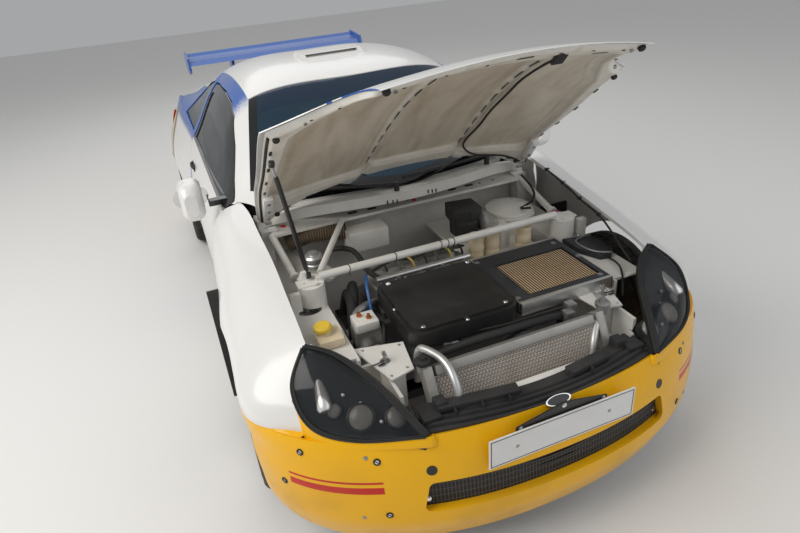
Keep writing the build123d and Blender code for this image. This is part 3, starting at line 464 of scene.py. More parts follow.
def addBox(bm, low, high, mat=0, turn=None, bevel=0.0):
    centre = (Vector(low) + Vector(high)) / 2
    size = Vector(high) - Vector(low)
    made = bmesh.ops.create_cube(bm, size=1.0)["verts"]
    for vert in made:
        vert.co = Vector(vert.co[i] * size[i] for i in range(3))
    if bevel:
        made = bevelled(bm, dict.fromkeys(e for v in made for e in v.link_edges), made, bevel)
    settle(made, mat, Matrix.Translation(centre) @ (turn or Matrix.Identity(4)))


def bevelled(bm, edges, verts, width):  # rounds the edges and returns the shape's corners after that
    made = bmesh.ops.bevel(bm, geom=list(edges), offset=width, segments=2, affect="EDGES", profile=0.6)
    rounded = [v for f in made["faces"] for v in f.verts]
    return list(dict.fromkeys(rounded + [v for v in verts if v.is_valid]))


def settle(verts, mat, turn):  # gives the faces at these corners their material, then puts the shape in place
    for vert in verts:
        vert.co = turn @ vert.co
        for face in vert.link_faces:
            face.material_index = mat


def addBar(bm, start, end, half, mat=0, bevel=0.0):  # a straight bar with a rectangular section
    start, end = Vector(start), Vector(end)
    reach = Vector((*half, (end - start).length / 2))
    middle = (start + end) / 2
    addBox(bm, middle - reach, middle + reach, mat, turned(end - start), bevel)


def addPlate(bm, outline, low, high, mat=0, turn=None, bevel=0.0):  # outline in plan, raised from low to high
    bottom = [bm.verts.new((x, y, low)) for x, y in outline]
    top = [bm.verts.new((x, y, high)) for x, y in outline]
    bm.faces.new(bottom[::-1])
    cover = bm.faces.new(top)
    for k in range(len(outline)):
        j = (k + 1) % len(outline)
        bm.faces.new((bottom[k], bottom[j], top[j], top[k]))
    verts = bevelled(bm, cover.edges, bottom + top, bevel) if bevel else bottom + top
    settle(verts, mat, turn or Matrix.Identity(4))


def routeLine(points):  # the smooth line that a hose or wire follows
    curve = bpy.data.curves.new("route", "CURVE")
    curve.dimensions = "3D"
    curve.resolution_u = 10
    spline = curve.splines.new("NURBS")
    spline.points.add(len(points) - 1)
    for point, place in zip(spline.points, points):
        point.co = (*place, 1)
    spline.order_u = min(3, len(points))
    spline.use_endpoint_u = True
    holder = bpy.data.objects.new("route", curve)
    mesh = bpy.data.meshes.new_from_object(holder)
    line = [v.co.copy() for v in mesh.vertices]
    bpy.data.objects.remove(holder)
    bpy.data.curves.remove(curve)
    bpy.data.meshes.remove(mesh)
    return line


def addTube(bm, line, radius, mat=0, sides=10, wave=None):  # wave(distance) scales the radius along the line
    line = [Vector(p) for p in line]
    along = 0.0
    normal = None
    rings = []
    for k, point in enumerate(line):
        ahead = (line[min(k + 1, len(line) - 1)] - line[max(k - 1, 0)]).normalized()
        if normal is None:
            normal = ahead.orthogonal().normalized()
        normal = (normal - ahead * normal.dot(ahead)).normalized()
        side = ahead.cross(normal)
        r = radius * (wave(along) if wave else 1.0)
        rings.append([bm.verts.new(point + (normal * math.cos(a) + side * math.sin(a)) * r)
                      for a in (math.tau * n / sides for n in range(sides))])
        if k + 1 < len(line):
            along += (line[k + 1] - point).length
    for low, high in zip(rings, rings[1:]):
        for n in range(sides):
            m = (n + 1) % sides
            bm.faces.new((low[n], low[m], high[m], high[n])).material_index = mat
    bm.faces.new(rings[0][::-1]).material_index = mat
    bm.faces.new(rings[-1]).material_index = mat


def evenly(line, gap):  # the same line with points a fixed gap apart
    result = [line[0]]
    rest = gap
    for a, b in zip(line, line[1:]):
        length = (b - a).length
        while rest <= length:
            result.append(a.lerp(b, rest / length))
            rest += gap
        rest -= length
    return result


def surfaceOf(*names, turn=Matrix.Identity(4)):  # for finding the surface of a CAD part from outside
    verts, faces = [], []
    for name in names:
        mesh = cadNodes[name].data
        start = len(verts)
        verts.extend(turn @ v.co for v in mesh.vertices)
        faces.extend([start + i for i in f.vertices] for f in mesh.polygons)
    return BVHTree.FromPolygons(verts, faces)


def seat(surface, origin, direction):  # the point where a line meets the surface, and the way that it faces
    place, facing = surface.ray_cast(Vector(origin), Vector(direction).normalized())[:2]
    if place is None:
        return None, None
    if facing.dot(Vector(direction)) > 0:
        facing = -facing
    return place, facing


def curveKnots(knots, steps):  # a smooth open line through a few points in the plane
    result = []
    for k in range(len(knots) - 1):
        before, here, there, after = (knots[max(0, min(len(knots) - 1, k + n))] for n in (-1, 0, 1, 2))
        for n in range(steps):
            t = n / steps
            result.append(tuple(
                0.5 * (2 * b + (c - a) * t + (2 * a - 5 * b + 4 * c - d) * t * t
                       + (3 * b - a - 3 * c + d) * t ** 3) for a, b, c, d in zip(before, here, there, after)))
    return result + [tuple(knots[-1])]

# Bonnet: inner panel, worked out with the bonnet shut and then turned open

bonnet = {
    "pivot": (0.722, 0.880), "open": 47.0, "rearArc": (-0.2628, 1.1478), "frontArc": (0.4314, 1.5186),
    "corner": [(1.530, 0.650), (1.682, 0.483), (1.895, 0.405)], "cornerFrom": 0.600, "cornerCut": 0.5,
    "inset": 0.009, "rib": 0.024, "pocket": 0.003, "rim": 0.0015, "lip": 0.024, "widest": 0.632, "rows": 200,
    "step": 0.0062, "pocketRadius": 0.055, "frontLip": 0.5,
    "pockets": [[(0.970, -0.178), (0.970, 0.178), (1.800, 0.138), (1.800, -0.138)],
                [(0.905, 0.228), (0.850, 0.560), (1.470, 0.572), (1.690, 0.405), (1.800, 0.360),
                 (1.800, 0.190)]],
    "ribLine": [(0.990, 0.2005), (1.760, 0.166)],
}


def openTurn():
    x, z = bonnet["pivot"]
    away = Matrix.Translation((x, 0, z))
    return away @ Matrix.Rotation(math.radians(-bonnet["open"]), 4, "Y") @ away.inverted()


def circleThrough(points):
    (ax, ay), (bx, by), (cx, cy) = points
    d = 2 * (ax * (by - cy) + bx * (cy - ay) + cx * (ay - by))
    squares = [x * x + y * y for x, y in points]
    ux = (squares[0] * (by - cy) + squares[1] * (cy - ay) + squares[2] * (ay - by)) / d
    uy = (squares[0] * (cx - bx) + squares[1] * (ax - cx) + squares[2] * (bx - ax)) / d
    return ux, uy, math.hypot(ax - ux, ay - uy)


def bonnetSpan(y):  # where the panel starts and ends at this distance from the middle
    y = abs(y)
    centre, radius = bonnet["rearArc"]
    rear = centre + math.sqrt(radius ** 2 - y * y)
    cornerY = bonnet["corner"][2][1]
    if y <= cornerY:
        centre, radius = bonnet["frontArc"]
        front = centre + math.sqrt(radius ** 2 - y * y)
    else:
        cx, cy, radius = circleThrough(bonnet["corner"])
        front = cx - math.sqrt(max(radius ** 2 - (y - cy) ** 2, 0))
    cut = max(0, y - bonnet["cornerFrom"]) * bonnet["cornerCut"]
    return rear + bonnet["inset"] + cut, front - bonnet["inset"]


def pocketDistance(x, y, corners):  # below 0 inside the rounded pocket
    y = abs(y) if corners[0][1] > 0 else y
    inside, nearest = False, 1e9
    for (ax, ay), (bx, by) in zip(corners, corners[1:] + corners[:1]):
        t = max(0, min(1, ((x - ax) * (bx - ax) + (y - ay) * (by - ay)) / ((bx - ax) ** 2 + (by - ay) ** 2)))
        nearest = min(nearest, math.hypot(x - ax - t * (bx - ax), y - ay - t * (by - ay)))
        if (ay > y) != (by > y) and x < (bx - ax) * (y - ay) / (by - ay) + ax:
            inside = not inside
    return -nearest if inside else nearest


def shrunk(corners, gap):  # the same pocket with its sides moved in, for rounding its corners
    cx = sum(x for x, y in corners) / len(corners)
    cy = sum(y for x, y in corners) / len(corners)
    result = []
    for x, y in corners:
        length = math.hypot(x - cx, y - cy)
        result.append((x + (cx - x) / length * gap * 1.35, y + (cy - y) / length * gap * 1.35))
    return result


def smooth(value, low, high):
    t = max(0.0, min(1.0, (value - low) / (high - low)))
    return t * t * (3 - 2 * t)


shutSkin = surfaceOf("bonnet_skin", turn=openTurn().inverted())


def panelHeight(x, y, inward):  # the shut skin's lower face, a little further in where its edge is passed
    for k in range(12):
        below = Vector((x + inward * 0.006 * k, y * (1 - 0.008 * k), 0.2))
        place = shutSkin.ray_cast(below, Vector((0, 0, 1)))[0]
        if place:
            return place.z


def panelDepth(x, y, edge):
    radius = bonnet["pocketRadius"]
    outside = min(pocketDistance(x, y, shrunk(c, radius)) - radius for c in bonnet["pockets"])
    depth = bonnet["pocket"] + (bonnet["rib"] - bonnet["pocket"]) * smooth(outside, -0.016, 0.010)
    bead = math.exp(-((outside + 0.030) / 0.006) ** 2) * 0.003
    (ax, ay), (bx, by) = bonnet["ribLine"]
    ribY = ay + (by - ay) * (x - ax) / (bx - ax)
    groove = math.exp(-((abs(y) - ribY) / 0.008) ** 2) * smooth(outside, 0.0, 0.012) * 0.009
    rim = bonnet["rim"]
    return rim + (depth + bead - groove - rim) * smooth(edge, 0.0, bonnet["lip"]), outside


def panelPoint(x, y, under=0.0, edge=1.0):  # a place on the inner panel, and a little below it, bonnet open
    return openTurn() @ Vector((x, y, panelHeight(x, y, 1) - panelDepth(x, y, edge)[0] - under))


def makeInnerPanel():
    widest, rows = bonnet["widest"], bonnet["rows"]
    columns = int(2 * widest / bonnet["step"])
    turn = openTurn()
    verts, tones, faces = [], [], []
    for c in range(columns + 1):
        y = -widest + 2 * widest * c / columns
        rear, front = bonnetSpan(y)
        for r in range(rows + 1):
            x = rear + (front - rear) * r / rows
            edge = min(x - rear, (front - x) * bonnet["frontLip"], widest - abs(y))
            depth, outside = panelDepth(x, y, edge)
            height = panelHeight(x, y, 1 if r < rows / 2 else -1)
            verts.append(turn @ Vector((x, y, height - depth)))
            # tone channels: red inside a pocket, green near the front edge, blue on the slope at a pocket's
            # edge, where painted shade goes
            tones.append((smooth(-outside, 0.0, 0.03), smooth(front - x, 0.05, 0.0),
                          smooth(abs(outside), 0.006, 0.0), 1))
    for c in range(columns):
        for r in range(rows):
            a = c * (rows + 1) + r
            faces.append((a, a + 1, a + rows + 2, a + rows + 1))
    mesh = bpy.data.meshes.new("bonnetPanel")
    mesh.from_pydata(verts, [], faces)
    layer = mesh.color_attributes.new("panelTone", "FLOAT_COLOR", "POINT")
    for item, tone in zip(layer.data, tones):
        item.color = tone
    bm = bmesh.new()
    bm.from_mesh(mesh)
    bmesh.ops.recalc_face_normals(bm, faces=bm.faces)
    bm.to_mesh(mesh)
    bm.free()
    addPiece("bonnet_inner_panel", mesh, panelPaint(), "bonnet", ["bonnet_frame"])


def panelPaint():  # cream with grey-brown smears in the pockets and white on the ribs and lip, and a darker line of painted shade along each pocket's edge
    mat, shader, tree = material("panelPaint", (0.7, 0.62, 0.5), rough=0.42)
    painted = tree.nodes.new("ShaderNodeAttribute")
    painted.attribute_name = "panelTone"
    tone = addNode(tree, "ShaderNodeSeparateColor", Color=painted.outputs["Color"]).outputs
    place = ownPlace(tree)
    stretch = addNode(tree, "ShaderNodeMapping", Vector=place, Scale=(2.0, 9.0, 2.0)).outputs[0]
    smear = step(tree, noise(tree, stretch, 1.3, 5.0, Distortion=0.6), 0.34, 0.78)
    blot = step(tree, noise(tree, place, 9.0, 8.0), 0.45, 0.80)
    pocket = mixColour(tree, smear, (0.68, 0.60, 0.49), (0.47, 0.39, 0.29))
    rib = mixColour(tree, blot, (0.79, 0.745, 0.66), (0.64, 0.575, 0.48))
    colour = mixColour(tree, tone["Red"], rib, pocket)
    # painted shade: a darker line along the slope at each pocket's edge
    colour = mixColour(tree, times(tree, tone["Blue"], 0.35), colour, (0.30, 0.25, 0.19))
    colour = mixColour(tree, tone["Green"], colour, (0.80, 0.79, 0.765))
    soil(tree, shader, 0.05, Colour=colour, Dirt_Colour=(0.30, 0.25, 0.18), Amount=0.10, Patch_Scale=14.0,
         Roughness=0.40, Low_Down=0.0)
    return mat


def addStadium(bm, centre, along, facing, length, width, depth=0.0012):  # a round-ended slot lying on a face
    along = (along - facing * along.dot(facing)).normalized()
    side = facing.cross(along)
    ring = []
    for end in (1, -1):
        for k in range(7):
            a = math.pi * (k / 6 - 0.5)
            ring.append(along * (end * (length / 2 - width / 2 + math.cos(a) * width / 2))
                        + side * (end * math.sin(a) * width / 2))
    top = [bm.verts.new(centre + p + facing * depth) for p in ring]
    low = [bm.verts.new(centre + p - facing * depth) for p in ring]
    for k in range(len(ring)):
        j = (k + 1) % len(ring)
        bm.faces.new((low[k], low[j], top[j], top[k]))
    bm.faces.new(top)


panelSlots = [  # places on the left half, the way that each slot runs, its length and width
    {"at": [(0.86, 0.605), (0.97, 0.610), (1.10, 0.612), (1.24, 0.612), (1.38, 0.612)], "run": (1, 0),
     "size": (0.030, 0.010)},
    {"at": [(0.80, 0.52), (0.84, 0.42), (0.87, 0.31), (0.905, 0.20)], "run": (-0.28, 1),
     "size": (0.036, 0.008)},
    {"at": [(1.862, 0.33), (1.880, 0.22), (1.893, 0.11), (1.62, 0.515), (1.70, 0.452)], "run": (0, 1),
     "size": (0.010, 0.010)},
    {"at": [(1.815, 0.30)], "run": (0.3, 1), "size": (0.045, 0.018)},
]
ribSlots = {"count": 8, "first": 0.05, "gap": 0.125, "size": (0.058, 0.009)}
frontSlot = (1.897, 0.0, 0, 1, 0.05, 0.016)


def makePanelSlots():
    bm = bmesh.new()
    marks = []
    (ax, ay), (bx, by) = bonnet["ribLine"]
    for side in (1, -1):
        for k in range(ribSlots["count"]):
            t = ribSlots["first"] + k * ribSlots["gap"]
            marks.append((ax + (bx - ax) * t, side * (ay + (by - ay) * t), 1, -side * 0.045,
                          *ribSlots["size"]))
        for slots in panelSlots:
            dx, dy = slots["run"]
            marks.extend((x, side * y, dx * side if dy else dx, dy, *slots["size"]) for x, y in slots["at"])
    for x, y, dx, dy, length, width in marks + [frontSlot]:
        place = panelPoint(x, y)
        ahead = panelPoint(x + dx * 0.004, y + dy * 0.004) - place
        across = panelPoint(x - dy * 0.004, y + dx * 0.004) - place
        facing = ahead.cross(across).normalized()
        if facing.dot(panelDown()) < 0:
            facing = -facing
        addStadium(bm, place, ahead, facing, length, width)
    # black plates at the slots: painted shade for the dark seen through the holes
    keep("bonnet_panel_slots", bm, blackPaintAndHoleShade, "bonnet")


bonnetTrim = {
    "hose": [(1.790, 0.178, 0.004), (1.700, 0.214, 0.010), (1.560, 0.205, 0.010), (1.430, 0.230, 0.008),
             (1.300, 0.213, 0.012), (1.160, 0.236, 0.008), (1.040, 0.214, 0.012), (0.960, 0.236, 0.010),
             (0.900, 0.300, 0.010), (0.872, 0.400, 0.012), (0.838, 0.500, 0.012), (0.790, 0.570, 0.014)],
    "block": (1.812, 0.172, 0.006), "stops": [(1.50, 0.604, 0), (0.78, 0.560, 0), (1.872, 0.382, -0.012)],
    "seal": [(0.745 + 0.031 * k, 0.623) for k in range(25)], "hingeBolt": (0.80, 0.596, 0.004),
    "bolts": [(1.862, 0.355), (1.60, 0.53)],
}


def panelDown():  # away from the skin, with the bonnet open
    return openTurn().to_3x3() @ Vector((0, 0, -1))


def makeBonnetTrim():  # washer hose clipped along one rib, rubber stops, edge seals and the hinge bolts
    turn, down = openTurn().to_3x3(), panelDown()
    bm = bmesh.new()
    addTube(bm, routeLine([panelPoint(*spot) for spot in bonnetTrim["hose"]]), 0.0042, 0, 8)
    block = Matrix.Translation(panelPoint(*bonnetTrim["block"])) @ turn.to_4x4()
    addBox(bm, (-0.028, -0.020, -0.006), (0.028, 0.020, 0.006), 0, block, 0.004)
    for side in (1, -1):
        for x, y, under in bonnetTrim["stops"]:
            addLathe(bm, [(0.011, -0.002), (0.011, 0.007), (0.008, 0.010), (0, 0.010)],
                     panelPoint(x, side * y, under), down, 14)
        addTube(bm, [panelPoint(x, side * y, 0.002, 0.009) for x, y in bonnetTrim["seal"]], 0.0052, 0, 10)
    keep("bonnet_hose_and_stops", bm, rubber, "bonnet")
    bm = bmesh.new()
    for side in (1, -1):
        x, y, under = bonnetTrim["hingeBolt"]
        start = panelPoint(x, side * y, under)
        for shift in ((0, 0, 0), (-0.03, 0, -0.004)):
            addLathe(bm, [(0.008, 0), (0.008, 0.006), (0, 0.006)], start + turn @ Vector(shift), down, 6)
    for side in (1, -1):
        for x, y in bonnetTrim["bolts"]:
            addLathe(bm, [(0.006, 0), (0.006, 0.004), (0, 0.004)], panelPoint(x, side * y), down, 6)
    keep("bonnet_hinge_bolts", bm, steel, "bonnet")


makeInnerPanel()
makePanelSlots()
makeBonnetTrim()
print("bonnet made")

# Repeats by Geometry Nodes: small fasteners set on points that say which way they face

def makeFastenerTree():
    tree = bpy.data.node_groups.new("fastenersOnPoints", "GeometryNodeTree")
    for label, kind, value in (("Points", "NodeSocketGeometry", None),
                               ("Head Radius", "NodeSocketFloat", 0.006),
                               ("Head Height", "NodeSocketFloat", 0.004), ("Sides", "NodeSocketInt", 6),
                               ("Washer Radius", "NodeSocketFloat", 0.009),
                               ("Finish", "NodeSocketMaterial", None)):
        socket = tree.interface.new_socket(label, in_out="INPUT", socket_type=kind)
        if value is not None:
            socket.default_value = value
    tree.interface.new_socket("Fasteners", in_out="OUTPUT", socket_type="NodeSocketGeometry")
    given, result = tree.nodes.new("NodeGroupInput").outputs, tree.nodes.new("NodeGroupOutput").inputs
    head = addNode(tree, "GeometryNodeMeshCylinder", Vertices=given["Sides"], Radius=given["Head Radius"],
                   Depth=given["Head Height"])
    washer = addNode(tree, "GeometryNodeMeshCylinder", Vertices=18, Radius=given["Washer Radius"],
                     Depth=0.0016)
    lift = addNode(tree, "ShaderNodeCombineXYZ", Z=times(tree, given["Head Height"], 0.5))
    raised = addNode(tree, "GeometryNodeTransform", Geometry=head.outputs["Mesh"],
                     Translation=lift.outputs[0])
    joined = tree.nodes.new("GeometryNodeJoinGeometry")
    tree.links.new(raised.outputs[0], joined.inputs[0])
    tree.links.new(washer.outputs["Mesh"], joined.inputs[0])
    facing = addNode(tree, "GeometryNodeInputNamedAttribute", Name="facing")
    facing.data_type = "FLOAT_VECTOR"
    align = addNode(tree, "FunctionNodeAlignRotationToVector", Vector=facing.outputs["Attribute"])
    align.axis = "Z"
    placed = addNode(tree, "GeometryNodeInstanceOnPoints", Points=given["Points"], Instance=joined.outputs[0],
                     Rotation=align.outputs[0])
    real = addNode(tree, "GeometryNodeRealizeInstances", Geometry=placed.outputs[0])
    finish = addNode(tree, "GeometryNodeSetMaterial", Geometry=real.outputs[0], Material=given["Finish"])
    fill(tree, result[0], finish.outputs[0])
    return tree


fastenerTree = makeFastenerTree()


def meshFromTree(tree, start, values):  # runs a node tree on a mesh and keeps what it makes
    holder = addObject("source", start)
    modifier = holder.modifiers.new("nodes", "NODES")
    modifier.node_group = tree
    for item in tree.interface.items_tree:
        if item.in_out == "INPUT" and item.name in values:
            modifier[item.identifier] = values[item.name]
    bpy.context.view_layer.update()
    made = bpy.data.meshes.new_from_object(holder.evaluated_get(bpy.context.evaluated_depsgraph_get()))
    bpy.data.objects.remove(holder)
    return made


def addFasteners(name, places, body, finish, radius=0.006, height=0.004, sides=6, washer=0.009):
    points = bpy.data.meshes.new(name + "Points")
    places = [(p, f) for p, f in places if p is not None]
    points.from_pydata([p for p, f in places], [], [])
    layer = points.attributes.new("facing", "FLOAT_VECTOR", "POINT")
    for item, (p, f) in zip(layer.data, places):
        item.vector = f
    mesh = meshFromTree(fastenerTree, points, {"Head Radius": radius, "Head Height": height, "Sides": sides,
                                               "Washer Radius": washer, "Finish": finish})
    addPiece(name, mesh, [], body, smooth=False)


# Air box and filter

airbox = {"coverLow": (1.206, -0.318), "coverHigh": (1.584, 0.096),
          "trayLow": (1.194, 0.098), "trayHigh": (1.574, 0.488), "trayTop": 0.700, "trayFoot": 0.652,
          "holeLow": (1.292, 0.158), "holeHigh": (1.530, 0.462), "pleats": 29}
paper = textured("filterPaper", (0.66, 0.49, 0.31), (0.45, 0.32, 0.19), 90, 0.8, strength=0.05)
# a dark paper for the sloping sides of the folds: painted shade in the valleys between them
paperPaintedShade = textured("filterPaperPaintedShade", (0.13, 0.08, 0.04), (0.10, 0.065, 0.03), 90, 0.9, strength=0.05)
plateBlack = textured("plateBlack", (0.022, 0.025, 0.030), (0.10, 0.10, 0.10), 300, 0.45, strength=0.15)


def makeFilterTray():
    (x0, y0), (x1, y1) = airbox["trayLow"], airbox["trayHigh"]
    (hx0, hy0), (hx1, hy1) = airbox["holeLow"], airbox["holeHigh"]
    top, foot = airbox["trayTop"], airbox["trayFoot"]
    under, floor = top - 0.002, foot + 0.004
    walls = [((x0, y0, foot), (x1, y0 + 0.004, under)), ((x0, y1 - 0.004, foot), (x1, y1, under)),
             ((x0 + 0.02, y0, foot), (x1 - 0.02, y1, floor)),
             ((hx0 - 0.006, hy0 - 0.006, floor), (hx0, hy1 + 0.006, top)),
             ((hx1, hy0 - 0.006, floor), (hx1 + 0.006, hy1 + 0.006, top)),
             ((hx0, hy0 - 0.006, floor), (hx1, hy0, top)), ((hx0, hy1, floor), (hx1, hy1 + 0.006, top))]
    plates = [((x0 + 0.016, y0, under), (hx0, y1 - 0.002, top)),
              ((hx1, y0, under), (x1 - 0.018, y1 - 0.002, top)),
              ((hx0, y0, under), (hx1, hy0, top)), ((hx0, hy1, under), (hx1, y1 - 0.002, top))]
    ends = [((x0, y0, foot), (x0 + 0.016, y1, top)), ((x1 - 0.018, y0, foot - 0.004), (x1, y1, top + 0.001))]
    bm = bmesh.new()
    for low, high in walls + plates:
        addBox(bm, low, high)
    for low, high in ends:
        addBox(bm, low, high, 1, None, 0.006)
    addBox(bm, (x0, y0 - 0.002, foot + 0.01), (x1 - 0.01, y0 + 0.001, top + 0.0015), 1)
    keep("filter_tray_shell", bm, [plateBlack, alloy], "body", ["filter_tray"])
    bm = bmesh.new()
    pitch = (hy1 - hy0) / airbox["pleats"]
    ridge, valley = top - 0.006, top - 0.026
    # the sloping sides of each fold take the dark paper, painted shade in the valleys; the flat ridges take
    # the plain paper
    folds = ((0, 0.30, valley, ridge), (0.30, 0.70, ridge, ridge), (0.70, 1, ridge, valley))
    for k in range(airbox["pleats"]):
        a = hy0 + k * pitch
        for low, high, za, zb in folds:
            fold = [(x, a + pitch * share, z) for x, share, z in (
                (hx0, low, za), (hx1, low, za), (hx1, high, zb), (hx0, high, zb))]
            bm.faces.new([bm.verts.new(p) for p in fold]).material_index = int(za != zb)
    bmesh.ops.remove_doubles(bm, verts=bm.verts, dist=1e-5)
    keep("filter_pleats", bm, [paper, paperPaintedShade], sharp=20)
    inset = 0.012
    corners = [(x0 + 0.04, y0 + inset), (x0 + 0.05, y1 - 0.03), (x1 - 0.035, y1 - 0.03),
               (x1 - 0.04, y0 + inset), ((x0 + x1) / 2, y1 - inset)]
    places = [((x, y, top), (0, 0, 1)) for x, y in corners]
    addFasteners("filter_tray_screws", places, "body", steel, 0.006, 0.003, 12, 0.010)


def makeCoverScrews():
    (x0, y0), (x1, y1) = airbox["coverLow"], airbox["coverHigh"]
    surface = surfaceOf("airbox_cover")
    spots = [(x0 + 0.03, y0 + 0.05), (x0 + 0.03, y1 - 0.03), (x1 - 0.03, y0 + 0.05), (x1 - 0.03, y1 - 0.05),
             ((x0 + x1) / 2, y0 + 0.012), (x1 - 0.012, (y0 + y1) / 2), (x0 + 0.011, (y0 + y1) / 2 - 0.02)]
    places = [seat(surface, (x, y, 1.0), (0, 0, -1)) for x, y in spots]
    addFasteners("airbox_screws", places, "body", chrome, 0.0055, 0.003, 16, 0.009)
    bm = bmesh.new()
    ring = [(x0 + 0.012, y0 + 0.05), (x0 + 0.012, y1 - 0.02), (x1 - 0.012, y1 - 0.02),
            (x1 - 0.012, y0 + 0.05)]
    for a, b in zip(ring, ring[1:] + ring[:1]):
        addTube(bm, [(*a, 0.648), (*b, 0.648)], 0.004, 0, 6)
    keep("airbox_seal", bm, rubber)


# Bottles and cans

bottles = [{"at": (1.118, 0.168, 0.645), "top": 0.760, "radius": 0.031},
           {"at": (1.122, 0.240, 0.645), "top": 0.762, "radius": 0.031},
           {"at": (1.146, 0.376, 0.652), "top": 0.760, "radius": 0.033}]
washerBottle = {"neck": (1.424, -0.575, 0.677), "cap": (1.424, -0.575, 0.727), "low": (1.384, -0.606, 0.678),
                "high": (1.482, -0.514, 0.714)}
shelves = [((0.700, 0.130, 0.640), (1.184, 0.450, 0.652), 0.004),
           ((0.790, -0.300, 0.690), (0.886, -0.125, 0.776), 0.004),
           ((0.667, -0.290, 0.690), (0.800, -0.140, 0.704), 0.003)]  # low corner, high corner, bevel


def bottleShape(radius, height, cap=0.024):
    body = height - cap
    return [(0, 0), (radius * 0.94, 0), (radius, 0.006), (radius, body * 0.38), (radius * 0.93, body * 0.42),
            (radius * 0.93, body * 0.48), (radius, body * 0.52), (radius, body * 0.84),
            (radius * 0.86, body * 0.95), (radius * 0.86, body), (radius * 1.03, body + 0.002),
            (radius * 1.03, height - 0.003),
            (radius * 0.96, height), (0, height)]


def makeBottles():
    bm = bmesh.new()
    for bottle in bottles:
        addLathe(bm, bottleShape(bottle["radius"], bottle["top"] - bottle["at"][2]), bottle["at"], sides=28)
    addLathe(bm, bottleShape(0.026, 0.050, 0.004), washerBottle["neck"], sides=24)
    addBox(bm, washerBottle["low"], washerBottle["high"], 0, None, 0.016)
    for low, high, bevel in shelves:
        addBox(bm, low, high, 1, None, bevel)
    keep("fluid_bottles", bm, [creamPlastic, bayWhite], "body", ["fluid_reservoirs"])
    bm = bmesh.new()
    addLathe(bm, [(0.027, 0), (0.031, 0.002), (0.031, 0.014), (0.026, 0.020), (0, 0.021)],
             washerBottle["cap"], sides=18)
    keep("washer_cap", bm, yellowPlastic)
    bm = bmesh.new()
    knob = [(0.010, 0), (0.010, 0.004), (0.019, 0.007), (0.019, 0.017), (0.014, 0.022), (0, 0.022)]
    addLathe(bm, knob, (1.118, -0.552, 0.748), sides=14)
    addLathe(bm, knob, (1.112, 0.556, 0.748), sides=14)
    purple = textured("purplePlastic", (0.36, 0.012, 0.14), (0.2, 0.1, 0.1), 300, 0.4, strength=0.1)
    keep("damper_caps", bm, purple)
    bm = bmesh.new()
    for side in (1, -1):
        addLathe(bm, [(0.022, 0), (0.022, 0.060), (0.013, 0.068), (0.013, 0.074), (0, 0.074)],
                 (1.115, side * 0.554, 0.677), sides=18)
    keep("damper_cans", bm, steel)
    bm = bmesh.new()
    can = [(0, 0), (0.040, 0), (0.042, 0.004), (0.042, 0.030), (0.038, 0.034), (0.038, 0.040), (0.042, 0.044),
           (0.042, 0.058), (0.034, 0.066), (0.020, 0.068), (0.020, 0.076), (0, 0.078)]
    addLathe(bm, can, (0.930, -0.470, 0.690), sides=30)
    addBox(bm, (0.880, -0.545, 0.676), (0.985, -0.430, 0.690), 1, None, 0.004)
    addLathe(bm, [(0, 0), (0.034, 0), (0.036, 0.01), (0.036, 0.11), (0.030, 0.125), (0, 0.128)],
             (0.94, 0.30, 0.735), (1, -0.15, 0), 26)
    addBox(bm, (0.935, 0.235, 0.652), (1.02, 0.36, 0.702), 1, None, 0.004)
    keep("bulkhead_cans", bm, [alloy, bayWhite])
    bm = bmesh.new()
    coil = [(0.83, 0.17), (0.95, 0.15), (0.985, 0.22), (0.96, 0.285), (0.85, 0.29)]
    addPlate(bm, coil, 0.735, 0.800, 0, None, 0.006)
    addBox(bm, (0.84, 0.185, 0.652), (0.93, 0.265, 0.735), 0)
    addBox(bm, (0.94, 0.15, 0.70), (1.00, 0.245, 0.760), 0, None, 0.006)
    keep("coil_bracket", bm, blackPlastic)
    bm = bmesh.new()
    master = [(0.99, 0.295), (1.06, 0.262), (1.10, 0.30), (1.09, 0.345), (1.02, 0.36)]
    addPlate(bm, master, 0.652, 0.742, 0, None, 0.005)
    addLathe(bm, [(0, 0), (0.016, 0), (0.016, 0.008), (0, 0.009)], (1.055, 0.31, 0.742), sides=14)
    servo = (0.90, 0.455, 0.720)
    addLathe(bm, [(0.105, 0), (0.110, 0.008), (0.105, 0.016), (0.06, 0.022), (0, 0.023)], servo, sides=36)
    addLathe(bm, [(0.118, -0.10), (0.118, 0.0), (0.105, 0.006)], servo, sides=36)
    keep("master_parts", bm, bayWhite)


# Hoses, wires and pipes in the bay

def corrugated(pitch, depth):
    return lambda along: 1 + depth * math.sin(along / pitch * math.tau)


